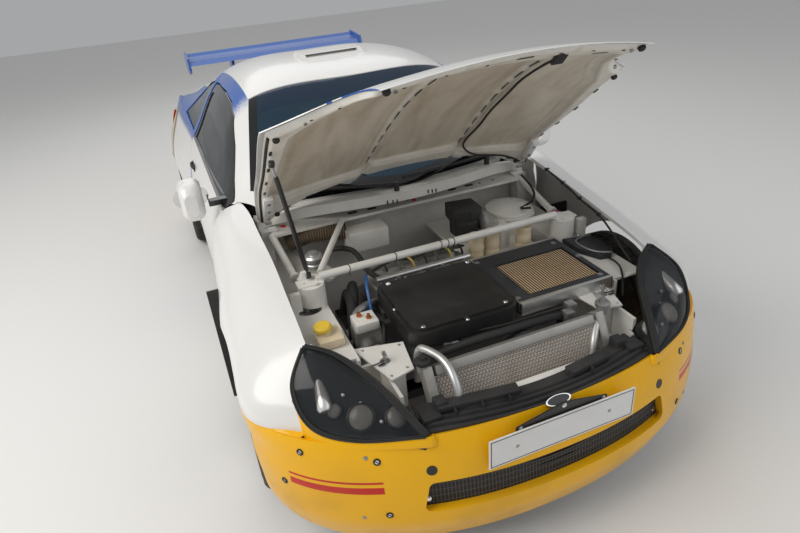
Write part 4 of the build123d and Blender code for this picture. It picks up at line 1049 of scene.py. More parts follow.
hoses = [  # radius and route; the last three are wires
    (0.011, [(0.905, -0.395, 0.745), (0.960, -0.330, 0.770), (1.020, -0.300, 0.735),
             (1.090, -0.300, 0.700), (1.160, -0.260, 0.690)]),  # at the bulkhead
    (0.020, [(1.10, -0.415, 0.560), (1.135, -0.405, 0.690), (1.215, -0.410, 0.660), (1.275, -0.435, 0.600),
             (1.290, -0.440, 0.500)]),  # coolant, rear
    (0.018, [(1.06, -0.390, 0.560), (1.115, -0.372, 0.700), (1.185, -0.392, 0.690), (1.260, -0.418, 0.560),
             (1.275, -0.425, 0.470)]),  # coolant, front
    (0.007, [(1.300, -0.330, 0.560), (1.335, -0.345, 0.640), (1.395, -0.350, 0.640),
             (1.430, -0.370, 0.600), (1.46, -0.38, 0.520)]),  # thin one in front of the engine
    (0.014, [(1.585, -0.250, 0.610), (1.625, -0.150, 0.655), (1.640, 0.020, 0.662), (1.628, 0.180, 0.650),
             (1.590, 0.290, 0.610)]),  # along the radiator's top
    (0.005, [(0.835, 0.560, 0.845), (0.905, 0.585, 0.800), (0.945, 0.560, 0.760), (0.930, 0.520, 0.735),
             (0.965, 0.470, 0.745), (1.010, 0.500, 0.760)]),  # screen washer
    (0.004, [(1.42, 0.590, 0.680), (1.50, 0.575, 0.700), (1.565, 0.545, 0.680), (1.60, 0.52, 0.62)]),
    (0.004, [(1.535, -0.200, 0.640), (1.600, -0.040, 0.658), (1.607, 0.110, 0.662), (1.600, 0.250, 0.655)]),
    (0.0035, [(1.560, -0.180, 0.628), (1.625, -0.020, 0.640), (1.632, 0.120, 0.642), (1.620, 0.230, 0.640)]),
]
metalPipes = [(0.017, [(1.215, -0.300, 0.640), (1.240, -0.360, 0.655), (1.262, -0.425, 0.640),
                       (1.330, -0.430, 0.610), (1.360, -0.350, 0.560)])]
ductRoute = [(0.735, -0.530, 0.735), (0.760, -0.470, 0.765), (0.778, -0.390, 0.770), (0.800, -0.290, 0.760)]
blueRoute = [(1.165, -0.330, 0.735), (1.205, -0.345, 0.725), (1.240, -0.350, 0.690), (1.262, -0.352, 0.640)]


def makeHoses():
    for name, finish, group in (("bay_hoses", rubber, hoses), ("bay_metal_pipe", steel, metalPipes)):
        bm = bmesh.new()
        for radius, route in group:
            addTube(bm, routeLine(route), radius, 0, 12)
        keep(name, bm, finish)
    bm = bmesh.new()
    addTube(bm, evenly(routeLine(ductRoute), 0.0016), 0.034, 0, 20, corrugated(0.0105, 0.10))
    sleeve = textured("ductSleeve", (0.16, 0.115, 0.075), (0.32, 0.26, 0.19), 240, 0.7, strength=0.5)
    keep("heater_duct", bm, sleeve, sharp=60)
    bm = bmesh.new()
    rng = random.Random(4)
    for k in range(9):  # loom laid along the bulkhead side of the brace
        a, b = rng.uniform(-0.012, 0.012), rng.uniform(-0.010, 0.010)
        route = [(1.075 + a, -0.290 + b, 0.690 + a), (1.095 + b, -0.200, 0.735 + b),
                 (1.090 + a, -0.110 + b, 0.720 - a), (1.100 + b, -0.010, 0.742 + a),
                 (1.085 - a, 0.070 + b, 0.715 + b), (1.060, 0.130 + a, 0.690)]
        addTube(bm, routeLine(route), rng.choice((0.0035, 0.0045, 0.006)), k % 4, 8)
    for k in range(7):  # short leads going down to the engine
        x, y = 1.085 + rng.uniform(-0.01, 0.02), -0.24 + k * 0.055
        route = [(x, y, 0.725), (x + 0.04, y + 0.01, 0.735), (x + 0.055, y + 0.012, 0.66),
                 (x + 0.05, y, 0.61)]
        addTube(bm, routeLine(route), 0.0045, k % 3, 8)
    yellow = textured("wireYellow", (0.55, 0.40, 0.08), (0.3, 0.25, 0.15), 300, 0.5, strength=0.1)
    green = textured("wireGreen", (0.07, 0.16, 0.08), (0.2, 0.2, 0.15), 300, 0.5, strength=0.1)
    loomGrey = textured("loomSleeve", (0.12, 0.11, 0.10), (0.3, 0.27, 0.2), 500, 0.6, strength=0.4)
    keep("wiring_loom", bm, [rubber, loomGrey, yellow, green])
    bm = bmesh.new()
    for k in range(3):
        shift = Vector((0.012 * k, -0.003 * k, 0))
        addTube(bm, routeLine([Vector(p) + shift for p in blueRoute]), 0.0055, 0, 8)
    blueHose = textured("blueHose", (0.02, 0.12, 0.35), (0.3, 0.3, 0.3), 300, 0.4, strength=0.1)
    keep("blue_hoses", bm, blueHose)


def makeEngineTop():  # what shows of the engine round the air box: rail, ports, plug leads, belt cover
    bm = bmesh.new()
    addBox(bm, (1.040, -0.300, 0.638), (1.180, 0.120, 0.668), 0, None, 0.010)
    for k in range(4):
        y = -0.235 + k * 0.095
        addLathe(bm, [(0.022, 0), (0.022, 0.020), (0.016, 0.026), (0.016, 0.040), (0, 0.041)],
                 (1.118, y, 0.664), (0.15, 0, 1), 18)
        addLathe(bm, [(0.008, 0), (0.008, 0.030), (0.012, 0.034), (0.012, 0.046), (0, 0.047)],
                 (1.150, y + 0.03, 0.664), (0.5, 0, 1), 12)
    addLathe(bm, [(0, 0), (0.013, 0), (0.013, 0.40), (0, 0.40)], (1.165, -0.290, 0.700), (0, 1, 0), 16)
    addBox(bm, (1.300, -0.452, 0.560), (1.372, -0.352, 0.636), 0, None, 0.010)
    addBox(bm, (1.215, -0.455, 0.44), (1.30, -0.33, 0.560), 0, None, 0.012)
    addLathe(bm, [(0, 0), (0.055, 0), (0.060, 0.008), (0.060, 0.060), (0.05, 0.07), (0, 0.072)],
             (1.38, -0.40, 0.50), (1, 0, 0.1), 24)
    keep("engine_top", bm, alloy)
    bm = bmesh.new()
    copper = textured("copperFitting", (0.55, 0.20, 0.07), (0.3, 0.2, 0.12), 200, 0.35, 0.9)
    fitting = [(0, 0), (0.010, 0), (0.010, 0.008), (0.006, 0.008), (0.006, 0.018), (0, 0.018)]
    for place in ((1.326, -0.420, 0.672), (1.352, -0.392, 0.672)):
        addLathe(bm, fitting, place, sides=6)
    keep("brake_block_fittings", bm, copper)
    bm = bmesh.new()
    addBox(bm, (1.300, -0.448, 0.636), (1.384, -0.362, 0.672), 0, None, 0.008)
    keep("brake_block", bm, bayWhite)
    bm = bmesh.new()
    for x, y, z in ((1.600, 0.285, 0.650), (1.622, 0.262, 0.635)):
        addBox(bm, (x - 0.018, y - 0.018, z - 0.014), (x + 0.018, y + 0.018, z + 0.014), 0, None, 0.004)
    for x, y, z in ((1.536, -0.215, 0.640), (1.562, -0.200, 0.626)):
        addLathe(bm, [(0, 0), (0.013, 0), (0.013, 0.012), (0.010, 0.014), (0.010, 0.024), (0.013, 0.026),
                      (0.013, 0.05), (0, 0.052)], (x, y, z), (0.3, 1, 0), 14)
    keep("front_connectors", bm, steel)


brace = {"x": 1.178, "z": 0.790, "radius": 0.0158, "ties": (-0.395, -0.210, 0.010, 0.035, -0.020)}


def makeStrutTops():  # bolted collars, the brace's straps and the second pair of white tubes along the wings
    bm = bmesh.new()
    for side in (1, -1):
        outer = [(0.770, side * 0.596, 0.800), (1.052, side * 0.578, 0.745)]
        addTube(bm, outer, 0.0145, 0, 18)
        addLathe(bm, [(0, 0), (0.021, 0), (0.021, 0.012), (0.014, 0.014), (0, 0.014)], outer[1],
                 (1, -0.05 * side, -0.2), 20)
        for k in range(3):
            a = math.radians(90 + k * 120)
            bolt = (brace["x"] + 0.030 * math.cos(a), side * (0.545 + 0.030 * math.sin(a)), 0.777)
            addLathe(bm, [(0.009, 0), (0.009, 0.006), (0, 0.006)], bolt, sides=6)
    ring = [(0, 0), (0.034, 0), (0.034, 0.018), (0.028, 0.022), (0.028, 0.018), (0, 0.018)]
    addLathe(bm, ring, (1.110, -0.470, 0.752), (0.4, 0.5, 0.7), 26)
    keep("wing_tubes", bm, bayWhite)
    bm = bmesh.new()
    x, z, reach = brace["x"], brace["z"], brace["radius"]
    for y in brace["ties"]:
        addTube(bm, [(x + reach * math.cos(a), y + 0.002 * math.sin(a * 2), z + reach * math.sin(a))
                     for a in (math.tau * k / 20 for k in range(21))], 0.0016, 0, 6)
        addTube(bm, [(x, y, z - 0.016), (x - 0.006, y + 0.004, z - 0.030), (x - 0.018, y + 0.010, z - 0.040)],
                0.0014, 0, 6)
    keep("cable_ties", bm, rubber)


def makeLampDuct():  # the dark moulded duct between the left tower and the lamp
    bm = bmesh.new()
    outline = [(1.228, 0.515), (1.262, 0.628), (1.325, 0.634), (1.400, 0.630), (1.430, 0.600), (1.420, 0.555),
               (1.330, 0.515)]
    addPlate(bm, outline, 0.677, 0.700, 0, None, 0.006)
    rim = [(1.262, 0.626), (1.262, 0.560), (1.290, 0.532), (1.360, 0.535), (1.412, 0.565), (1.425, 0.600)]
    addTube(bm, routeLine([(x, y, 0.703) for x, y in rim]), 0.004, 1, 8)
    keep("lamp_duct", bm, [plateBlack, steel])


makeFilterTray()
makeCoverScrews()
makeBottles()
makeHoses()
makeEngineTop()
makeStrutTops()
makeLampDuct()
print("bay made")

# Places taken from the photograph: pixels in its 800 by 533 frame

photoSize = (800, 533)
photoSpots = {"bumperFasteners": [(300, 452), (377, 462), (285, 480), (390, 515)],
              "bumperStuds": [(683, 343), (683, 392)], "towingHole": (432, 470.5)}


def photoRay(spot):  # the way that the camera looks through a pixel
    ahead, sideways, upright = cameraAxes()
    width, height = photoSize
    reach = photo["lens"] / photo["sensor"] * width
    return ahead * reach + sideways * (spot[0] - width / 2) - upright * (spot[1] - height / 2)


def addSkin(bm, rows, mat=0, loop=False):  # faces between rows of points; loop joins each row's ends
    grid = [[bm.verts.new(p) for p in row] for row in rows]
    count = len(grid[0])
    for low, high in zip(grid, grid[1:]):
        for k in range(count if loop else count - 1):
            j = (k + 1) % count
            bm.faces.new((low[k], low[j], high[j], high[k])).material_index = mat
    return grid


def addLoft(bm, rows):  # a closed solid through rings of points
    grid = addSkin(bm, rows, 0, True)
    bm.faces.new(grid[0][::-1])
    bm.faces.new(grid[-1])


# Headlamps: the lines that the cover's surface follows, on the left side, from rear to front

lampLines = {
    "inner": [(1.546, 0.661, 0.774), (1.594, 0.582, 0.747), (1.681, 0.513, 0.706), (1.801, 0.452, 0.650),
              (1.890, 0.410, 0.594)],
    "middle": [(1.550, 0.667, 0.775), (1.612, 0.664, 0.748), (1.714, 0.622, 0.690), (1.820, 0.540, 0.632),
               (1.893, 0.415, 0.592)],
    "outer": [(1.553, 0.673, 0.771), (1.632, 0.738, 0.696), (1.722, 0.716, 0.604), (1.812, 0.606, 0.580),
              (1.894, 0.421, 0.587)],
}
lampBuild = {"steps": 9, "columns": 14, "innerSeal": 0.017, "outerSeal": 0.009, "sealRise": 0.0022,
             "glass": 0.0025, "outward": (0.42, 0.36, 0.83), "shallow": 0.014, "deep": 0.052,
             "bulbTip": (1.585, 0.650, 0.724),
             "bulbEnd": (1.712, 0.662, 0.650), "screws": [(1.742, 0.560, 0.652), (1.800, 0.520, 0.612),
                                                          (1.700, 0.600, 0.668)]}
reflectors = [{"at": (1.776, 0.574, 0.632), "radius": 0.040, "facing": (0.70, 0.25, 0.75)},
              {"at": (1.800, 0.470, 0.612), "radius": 0.035, "facing": (0.62, 0.05, 0.78)},
              {"at": (1.722, 0.640, 0.640), "radius": 0.024, "facing": (0.60, 0.40, 0.70)}]
lampDark = dirtied("lampDark", (0.026, 0.030, 0.032), (0.07, 0.065, 0.055), 0.12, 30, 0.28, bump=0.03)
lampSilver = textured("lampSilver", (0.72, 0.71, 0.69), (0.42, 0.39, 0.34), 60, 0.30, 0.6, 0.03)
lampLensGrey = dirtied("lampLensGrey", (0.30, 0.28, 0.25), (0.16, 0.13, 0.10), 0.2, 50, 0.2, coat=0.4,
                       bump=0.02)


def acrossLamp(inner, middle, outer, v):  # the arc from the inner edge to the outer one, through the middle
    return inner * ((2 * v - 1) * (v - 1)) + middle * (4 * v * (1 - v)) + outer * (v * (2 * v - 1))


def lampRows(side):  # rows of points across the cover; the first and last columns are the seals
    lines = {name: [Vector((x, side * y, z)) for x, y, z in curveKnots(points, lampBuild["steps"])]
             for name, points in lampLines.items()}
    rows = []
    count = lampBuild["columns"]
    for inner, middle, outer in zip(lines["inner"], lines["middle"], lines["outer"]):
        width = max((outer - inner).length, 0.001)
        first = min(0.5, lampBuild["innerSeal"] / width)
        last = min(0.48, lampBuild["outerSeal"] / width)
        shares = [0] + [first + (1 - first - last) * k / count for k in range(count + 1)]
        rows.append([acrossLamp(inner, middle, outer, v) for v in shares + [1]])
    return rows


def makeHeadlamp(side, name):
    outward = mirrored(lampBuild["outward"], side).normalized()
    rows = lampRows(side)
    glass = [row[1:-1] for row in rows]
    bm = bmesh.new()
    under = [[p - outward * lampBuild["glass"] for p in row[::-1]] for row in glass]
    addLoft(bm, [top + low for top, low in zip(glass, under)])
    keep("headlamp_cover_" + name, bm, lampCover, "body", ["headlamp_lenses"], sharp=60)
    bm = bmesh.new()
    rise = outward * lampBuild["sealRise"]
    for first, second in ((0, 1), (-1, -2)):
        addLoft(bm, [[row[first] + rise, row[second] + rise, row[second] - rise * 2.5, row[first] - rise * 4]
                     for row in rows])
        addTube(bm, [row[first] + rise for row in rows], 0.0036, 0, 8)
        addTube(bm, [row[second] + rise * 0.7 for row in rows], 0.0022, 0, 8)
    keep("headlamp_seal_" + name, bm, rubber, sharp=50)
    bm = bmesh.new()
    bowl = []
    for r, row in enumerate(rows):
        depth = lampBuild["shallow"] + lampBuild["deep"] * smooth(r / (len(rows) - 1), 0.25, 0.80)
        bowl.append([p - outward * (0.004 + depth * math.sin(math.pi * k / (len(row) - 1)) ** 0.45)
                     for k, p in enumerate(row)])
    addLoft(bm, [inner + [p - outward * 0.006 for p in inner[::-1]] for inner in bowl])
    keep("headlamp_housing_" + name, bm, lampDark, "body", ["headlamp_units"], sharp=50)
    bm = bmesh.new()
    for item in reflectors:
        place, facing = mirrored(item["at"], side), mirrored(item["facing"], side)
        r = item["radius"]
        rim = [(r * 1.06, -0.030), (r * 1.06, 0.001), (r * 0.97, 0.003), (r * 0.93, -0.002)]
        lens = [(r * 0.93, -0.002), (r * 0.80, 0.004), (r * 0.50, 0.009), (r * 0.20, 0.011), (0, 0.0115)]
        addLathe(bm, rim, place, facing, 32, 0)
        addLathe(bm, lens, place, facing, 32, 1)
    tip = mirrored(lampBuild["bulbTip"], side)
    along = mirrored(lampBuild["bulbEnd"], side) - tip
    length = along.length
    addLathe(bm, [(0.002, 0), (0.010, length * 0.3), (0.021, length * 0.75), (0.024, length),
                  (0.018, length + 0.010), (0, length + 0.012)], tip, along, 28, 2)
    for spot in lampBuild["screws"]:
        addLathe(bm, [(0.006, -0.004), (0.006, 0.003), (0.003, 0.006), (0, 0.006)], mirrored(spot, side),
                 outward, 12, 2)
    keep("headlamp_reflectors_" + name, bm, [lampDark, lampLensGrey, lampSilver], sharp=40)


lampSurround = {"foot": 0.555, "out": 0.009, "thick": 0.003, "whiteFrom": 0.760, "tip": (1.889, 0.394, 0.587)}
shutLine = {"from": 1.470, "reach": 0.276, "steps": 24, "low": 0.556, "high": 0.570, "thick": 0.003}


def makeLampSurround(side, name):  # painted edge between the cover and the holes in the bumper and the wing
    line = curveKnots([*lampLines["outer"][1:], lampSurround["tip"]],
                      lampBuild["steps"])[lampBuild["steps"] // 2:]
    rows = []
    for k, (x, y, z) in enumerate(line):
        before, after = line[max(k - 1, 0)], line[min(k + 1, len(line) - 1)]
        out = Vector((before[1] - after[1], after[0] - before[0], 0)).normalized()
        rim = Vector((x, y, z - 0.001))
        foot = Vector((x, y, lampSurround["foot"])) + out * lampSurround["out"]
        waist = rim.lerp(foot, 0.45) + out * 0.003
        inward = out * -lampSurround["thick"]
        rows.append([mirrored(p, side) for p in (rim, waist, foot, foot + inward, waist + inward,
                                                 rim + inward)])
    bm = bmesh.new()
    addLoft(bm, rows)
    for face in bm.faces:
        face.material_index = int(abs(face.calc_center_median().y) > lampSurround["whiteFrom"])
    keep("lamp_surround_" + name, bm, [bumperPaint, bodyWhite], sharp=50)


def makeShutLine(side, name):  # closes the gap between the wing's foot and the bumper's top edge
    bumper, wing = surfaceOf("front_bumper"), surfaceOf("front_wings")
    inward = Vector((0, -side * shutLine["thick"], 0))
    rows = []
    for k in range(shutLine["steps"] + 1):
        x = shutLine["from"] + shutLine["reach"] * k / shutLine["steps"]
        low = seat(bumper, (x, side * 1.2, shutLine["low"]), (0, -side, 0))[0]
        high = seat(wing, (x, side * 1.2, shutLine["high"]), (0, -side, 0))[0]
        if low and high and abs(low.y - high.y) < 0.05:
            rows.append([low + inward * 0.5, high + inward * 0.5, high + inward * 1.5, low + inward * 1.5])
    bm = bmesh.new()
    addLoft(bm, rows)
    keep("wing_foot_" + name, bm, bumperPaint, sharp=50)


def makeHeadlamps():
    for side, name in ((1, "left"), (-1, "right")):
        makeHeadlamp(side, name)
        makeLampSurround(side, name)
        makeShutLine(side, name)


# Upper grille panel, badge, plate and the mouth

nose = {"panelHalf": 0.405, "rearX": (1.836, 0.52), "frontX": (1.932, 0.33), "panelZ": 0.5765, "columns": 44,
        "ribGap": 0.085, "plateX": 1.978, "plateHalf": 0.260, "plateLow": 0.458, "plateHigh": 0.569}
# the badge's rim: share of its half sizes, height
badge = {"at": (1.936, 0.0, 0.590), "facing": (0.62, 0.0, 0.78), "half": (0.046, 0.0165), "sides": 40,
         "rim": [(1.0, -0.004), (1.0, 0.003), (0.96, 0.006), (0.84, 0.006), (0.80, 0.003)]}
raisedBlocks = [((1.812, -0.345), (1.850, -0.085)), ((1.856, 0.098), (1.838, 0.246))]
panelProfile = [(0, 0.0), (0, 0.018), (0.40, 0.021), (0.43, 0.013), (0.50, 0.012), (0.53, 0.019),
                (0.60, 0.020), (0.63, 0.010), (0.69, 0.009), (0.72, 0.016), (0.80, 0.016), (0.83, 0.006),
                (0.88, 0.005),
                (0.91, 0.012), (0.99, 0.011), (1, 0.0)]  # share of the way forward, height


def arcX(curve, y):
    return curve[0] - curve[1] * y * y


def makeGrillePanel():
    count, level = nose["columns"], nose["panelZ"]
    bm = bmesh.new()
    rows = []
    for k in range(count + 1):
        y = nose["panelHalf"] * (2 * k / count - 1)
        rear, front = arcX(nose["rearX"], y), arcX(nose["frontX"], y)
        fade = 0.4 + 0.6 * smooth(nose["panelHalf"] - abs(y), 0, 0.03)
        rows.append([(rear + (front - rear) * t, y, level + h * fade) for t, h in panelProfile])
    addLoft(bm, rows)
    for start, end in raisedBlocks:
        start, end = Vector((*start, 0)), Vector((*end, 0))
        length = (end - start).length
        turn = Matrix.Rotation(math.atan2(end.y - start.y, end.x - start.x) - math.pi / 2, 4, "Z")
        middle = (start + end) / 2 + Vector((0, 0, level + 0.026))
        half = Vector((0.020, length / 2, 0.012))
        below = Vector((-0.026, 0.012 - length / 2, -0.018))
        above = Vector((0.012, length / 2 - 0.05, -0.010))
        addBox(bm, middle - half, middle + half, 0, turn, 0.003)
        addBox(bm, middle + below, middle + above, 0, turn, 0.002)
        ribs = int(length / nose["ribGap"])
        for n in range(ribs):
            rib = start.lerp(end, (n + 0.5) / ribs)
            addBox(bm, (rib.x + 0.014, rib.y - 0.002, level + 0.014),
                   (rib.x + 0.040, rib.y + 0.002, level + 0.034))
    for side in (1, -1):
        addBox(bm, (1.795, side * 0.375 - 0.030, 0.560), (1.850, side * 0.375 + 0.030, 0.603), 0, None, 0.005)
        addBox(bm, (1.780, side * 0.330 - 0.018, 0.575), (1.822, side * 0.330 + 0.018, 0.622), 0, None, 0.004)
    keep("grille_panel", bm, blackPlastic, sharp=25)
    bm = bmesh.new()
    addBox(bm, (1.806, -0.170, 0.556), (1.838, 0.235, 0.590), 0, None, 0.003)
    keep("member_front_edge", bm, bayWhite)
    bm = bmesh.new()
    turn = Matrix.Translation(badge["at"]) @ turned(badge["facing"])
    wide, tall = badge["half"]
    angles = [math.tau * k / badge["sides"] for k in range(badge["sides"])]
    rings = [[turn @ Vector((wide * s * math.cos(a), tall * s * math.sin(a), h)) for a in angles]
             for s, h in badge["rim"]]
    addSkin(bm, rings[:4], 0, True)
    addSkin(bm, rings[3:], 1, True)
    bm.faces.new([bm.verts.new(p) for p in rings[-1]]).material_index = 1
    bmesh.ops.remove_doubles(bm, verts=bm.verts, dist=1e-6)
    keep("badge_blank", bm, [chrome, lampDark])


def makePlate():  # black line round the blank plate, its screws and the bracket above it
    x, half, low, high = (nose[k] for k in ("plateX", "plateHalf", "plateLow", "plateHigh"))
    bm = bmesh.new()
    line, thick, inset = 0.0022, 0.0006, 0.005
    half, low, high = half - inset, low + inset, high - inset
    for y0, z0, y1, z1 in ((-half, low, half, low + line), (-half, high - line, half, high),
                           (-half, low, -half + line, high), (half - line, low, half, high)):
        addBox(bm, (x, y0, z0), (x + thick, y1, z1))
    keep("plate_border", bm, blackPaintAndHoleShade)
    bm = bmesh.new()
    outline = [(-0.165, 0.560), (0.158, 0.560), (0.158, 0.574), (0.010, 0.606), (-0.010, 0.606),
               (-0.165, 0.574)]
    back, front = 1.964, 1.969
    addLoft(bm, [[(px, y, z) for y, z in outline] for px in (back, front)])
    keep("plate_bracket", bm, blackPaintAndHoleShade)
    places = [((front, y, z), (1, 0, 0)) for y, z in ((-0.150, 0.568), (0.145, 0.568), (0.0, 0.596))]
    addFasteners("bracket_bolts", places, "body", chrome, 0.005, 0.003, 6, 0.008)
    screws = [((x, y, 0.513), (1, 0, 0)) for y in (-0.165, 0.165)]
    addFasteners("plate_screws", screws, "body", steel, 0.004, 0.0015, 12, 0.006)


mouth = {"halfLow": 0.457, "halfHigh": 0.432, "halfMesh": 0.462, "low": 0.320, "high": 0.434, "points": 40,
         "wall": 0.003, "recess": 0.030, "wire": 0.0014, "wiresAt": (0.1, 0.3, 0.5, 0.7, 0.9)}


def makeMouth():  # flange round the mouth, and behind the slats a dark sheet with wires: the black mesh, and painted shade for what shows through it
    surface = surfaceOf("front_bumper")
    count, wall, bottom, top = (mouth[k] for k in ("points", "wall", "low", "high"))
    outline = [(mouth["halfLow"] * (2 * k / count - 1), bottom, -1) for k in range(count + 1)]
    outline += [(mouth["halfHigh"] * (1 - 2 * k / count), top, 1) for k in range(count + 1)]
    bm = bmesh.new()
    rows = []
    for y, z, out in outline + outline[:1]:
        face = seat(surface, (2.2, y, z + out * 0.002), (-1, 0, 0))[0]
        front = (face.x if face else rows[-1][0][0]) - 0.0015
        back, outer = front - mouth["recess"] - 0.012, z + out * wall
        rows.append([(front, y, z), (back, y * 0.985, z), (back, y * 0.985, outer), (front, y, outer)])
    addLoft(bm, rows)
    keep("mouth_flange", bm, bumperPaint, sharp=50)
    # the mesh is a solid dark sheet: the black mesh itself and painted shade for the dark seen through it
    bm = bmesh.new()
    rows = []
    for k in range(count + 1):
        y = mouth["halfMesh"] * (2 * k / count - 1)
        x = seat(surface, (2.2, y, bottom - 0.002), (-1, 0, 0))[0].x - mouth["recess"]
        rows.append([Vector(p) for p in ((x, y, bottom), (x - 0.003, y, bottom), (x - 0.013, y, top),
                                         (x - 0.010, y, top))])
    addLoft(bm, rows)
    for share in mouth["wiresAt"]:
        addTube(bm, [row[0].lerp(row[3], share) for row in rows], mouth["wire"], 1, 5)
    for here, beside in zip(rows, rows[1:]):
        for share in (0, 0.5):
            addTube(bm, [here[c].lerp(beside[c], share) for c in (0, 3)], mouth["wire"], 1, 5)
    keep("mouth_mesh", bm, [darkMeshAndGapShade, wireGrey], sharp=60)
    bolts = [((rows[1][0][0] + 0.001, side * 0.430, 0.345), (1, side * 0.3, 0.2)) for side in (1, -1)]
    addFasteners("mouth_bolts", bolts, "body", chrome, 0.006, 0.004, 6, 0.009)


def makeBumperFasteners():
    surface = surfaceOf("front_bumper")
    eye = Vector(photo["eye"])
    bm = bmesh.new()
    for spot in photoSpots["bumperFasteners"]:
        place, facing = seat(surface, eye, photoRay(spot))
        for side in (1, -1):
            at, out = mirrored(place, side), mirrored(facing, side)
            addLathe(bm, [(0.0115, -0.002), (0.0115, 0.0024), (0.0100, 0.0030), (0.0092, 0.0016),
                          (0, 0.0016)], at, out, 20, 0)
            addLathe(bm, [(0.0062, 0.001), (0.0062, 0.0024), (0, 0.0026)], at, out, 16, 1)
            across = out.cross((0.3 * side, 0.5, 1)).normalized() * 0.0064
            addBar(bm, at + out * 0.0024 - across, at + out * 0.0024 + across, (0.0013, 0.0013), 0)
    keep("bumper_quarter_turns", bm, [blackPaintAndHoleShade, chrome])
    studs = []
    for spot in photoSpots["bumperStuds"]:
        place, facing = seat(surface, eye, photoRay(spot))
        studs.extend((mirrored(place, side), mirrored(facing, side)) for side in (1, -1))
    addFasteners("bumper_studs", studs, "body", steel, 0.0040, 0.003, 12, 0.007)
    # black discs at the towing holes: painted shade for the dark inside them
    bm = bmesh.new()
    place, facing = seat(surface, eye, photoRay(photoSpots["towingHole"]))
    for side in (1, -1):
        addLathe(bm, [(0.0165, -0.002), (0.0165, 0.0012), (0.0145, 0.0012), (0.0135, 0.0004), (0, 0.0004)],
                 mirrored(place, -side), mirrored(facing, -side), 24)
    keep("towing_holes", bm, blackPaintAndHoleShade)


# Radiator: core of flat tubes and folded fins over a dark slab of painted shade, tanks and filler necks, fan
# ring behind

radiator = {"at": (1.700, 0, 0.632), "lean": 150, "half": 0.308, "height": 0.268, "pitch": 0.0112,
            "fold": 0.0060, "face": 0.017, "fin": 0.0012, "foot": 0.004, "tube": 0.0022,
            "fanAt": (0.040, 0.06, 0.120),
            "blades": 7}
# black for the mouth's mesh, and painted shade: the dark sheet behind that mesh and the slab behind the
# radiator's fins
darkMeshAndGapShade = textured("darkMeshAndGapShade", (0.010, 0.010, 0.011), (0.05, 0.05, 0.05), 230, 0.6, strength=0.8)
wireGrey = textured("wireGrey", (0.10, 0.095, 0.09), (0.20, 0.17, 0.13), 300, 0.5, 0.3, 0.2)
coreAlloy = textured("coreAlloy", (0.58, 0.52, 0.46), (0.30, 0.24, 0.19), 90, 0.5, 0.25, 0.2)
tankAlloy = textured("tankAlloy", (0.38, 0.365, 0.34), (0.17, 0.145, 0.12), 120, 0.46, 0.6, 0.25)
pipeAlloy = textured("pipeAlloy", (0.60, 0.60, 0.59), (0.40, 0.38, 0.35), 160, 0.38, 0.75, 0.1)


def radiatorTurn():
    return Matrix.Translation(radiator["at"]) @ Matrix.Rotation(math.radians(radiator["lean"]), 4, "Y")


def makeRadiator():
    turn = radiatorTurn()
    half, pitch, face, fin, foot, tube, tall = (
        radiator[k] for k in ("half", "pitch", "face", "fin", "foot", "tube", "height"))
    count, folds = int(tall / pitch), int(2 * half / radiator["fold"])
    bm = bmesh.new()
    for n in range(count + 1):
        addBox(bm, (-face, -half, foot + n * pitch), (-face + 0.014, half, foot + n * pitch + tube))
    for n in range(count):
        low, high = foot + tube + n * pitch, foot + (n + 1) * pitch
        line = [(-half + 2 * half * k / folds, low if (k + n) % 2 else high) for k in range(folds + 1)]
        addSkin(bm, [[(x, y + dy, z) for x, dy in ((-face, -fin), (-face, fin), (0.009 - face, fin),
                                                   (0.009 - face, -fin))] for y, z in line], 0, True)
    # a dark slab behind the fins: painted shade in the gaps between them
    addBox(bm, (-face + 0.016, -half, 0.0), (face, half, tall), 1)
    bm.transform(turn)
    keep("radiator_core", bm, [coreAlloy, darkMeshAndGapShade], "body", ["radiator"], sharp=20)
    bm = bmesh.new()
    addBox(bm, (-0.026, -0.300, -0.030), (0.022, 0.300, 0.002), 0, None, 0.006)
    addBox(bm, (-0.026, -0.316, tall), (0.022, 0.316, tall + 0.012), 0, None, 0.004)
    for side in (1, -1):
        low, high = sorted((side * half, side * (half + 0.034)))
        addBox(bm, (-0.028, low, -0.034), (0.024, high, tall), 0, None, 0.007)
    bm.transform(turn)
    necks = [turn @ Vector((-0.006, y, -0.034)) for y in (-0.332, 0.352)]
    for neck in necks:
        addLathe(bm, [(0.020, -0.012), (0.020, 0.012), (0.024, 0.014), (0.024, 0.018), (0, 0.018)], neck,
                 sides=22)
    keep("radiator_tanks", bm, tankAlloy)
    bm = bmesh.new()
    for mat, neck in enumerate(necks):
        addLathe(bm, [(0.026, 0), (0.026, 0.010), (0.018, 0.015), (0.013, 0.016), (0.012, 0.026), (0, 0.028)],
                 neck + Vector((0, 0, 0.018)), sides=24, mat=mat)
    keep("radiator_caps", bm, [rubber, steel])
    bm = bmesh.new()
    fan = turn @ Matrix.Translation(radiator["fanAt"]) @ Matrix.Rotation(math.radians(90), 4, "Y")
    centre, facing = fan.translation, fan.to_3x3() @ Vector((0, 0, 1))
    ring = [(0.150, -0.020), (0.158, -0.020), (0.158, 0.022), (0.150, 0.022), (0.150, -0.020)]
    addLathe(bm, ring, centre, facing, 48)
    addLathe(bm, [(0.040, -0.016), (0.040, 0.014), (0, 0.016)], centre, facing, 24)
    for k in range(radiator["blades"]):
        spin = Matrix.Rotation(math.tau * k / radiator["blades"], 4, "Z")
        blade = Matrix.Translation(centre) @ turned(facing) @ spin
        rows = [[blade @ Vector((r, w, t + w * 0.35)) for w, t in ((-c, 0), (c, 0), (c, 0.002), (-c, 0.002))]
                for r, c in ((0.038, 0.018), (0.095, 0.030), (0.148, 0.024))]
        addLoft(bm, rows)
    keep("radiator_fan", bm, blackPlastic)


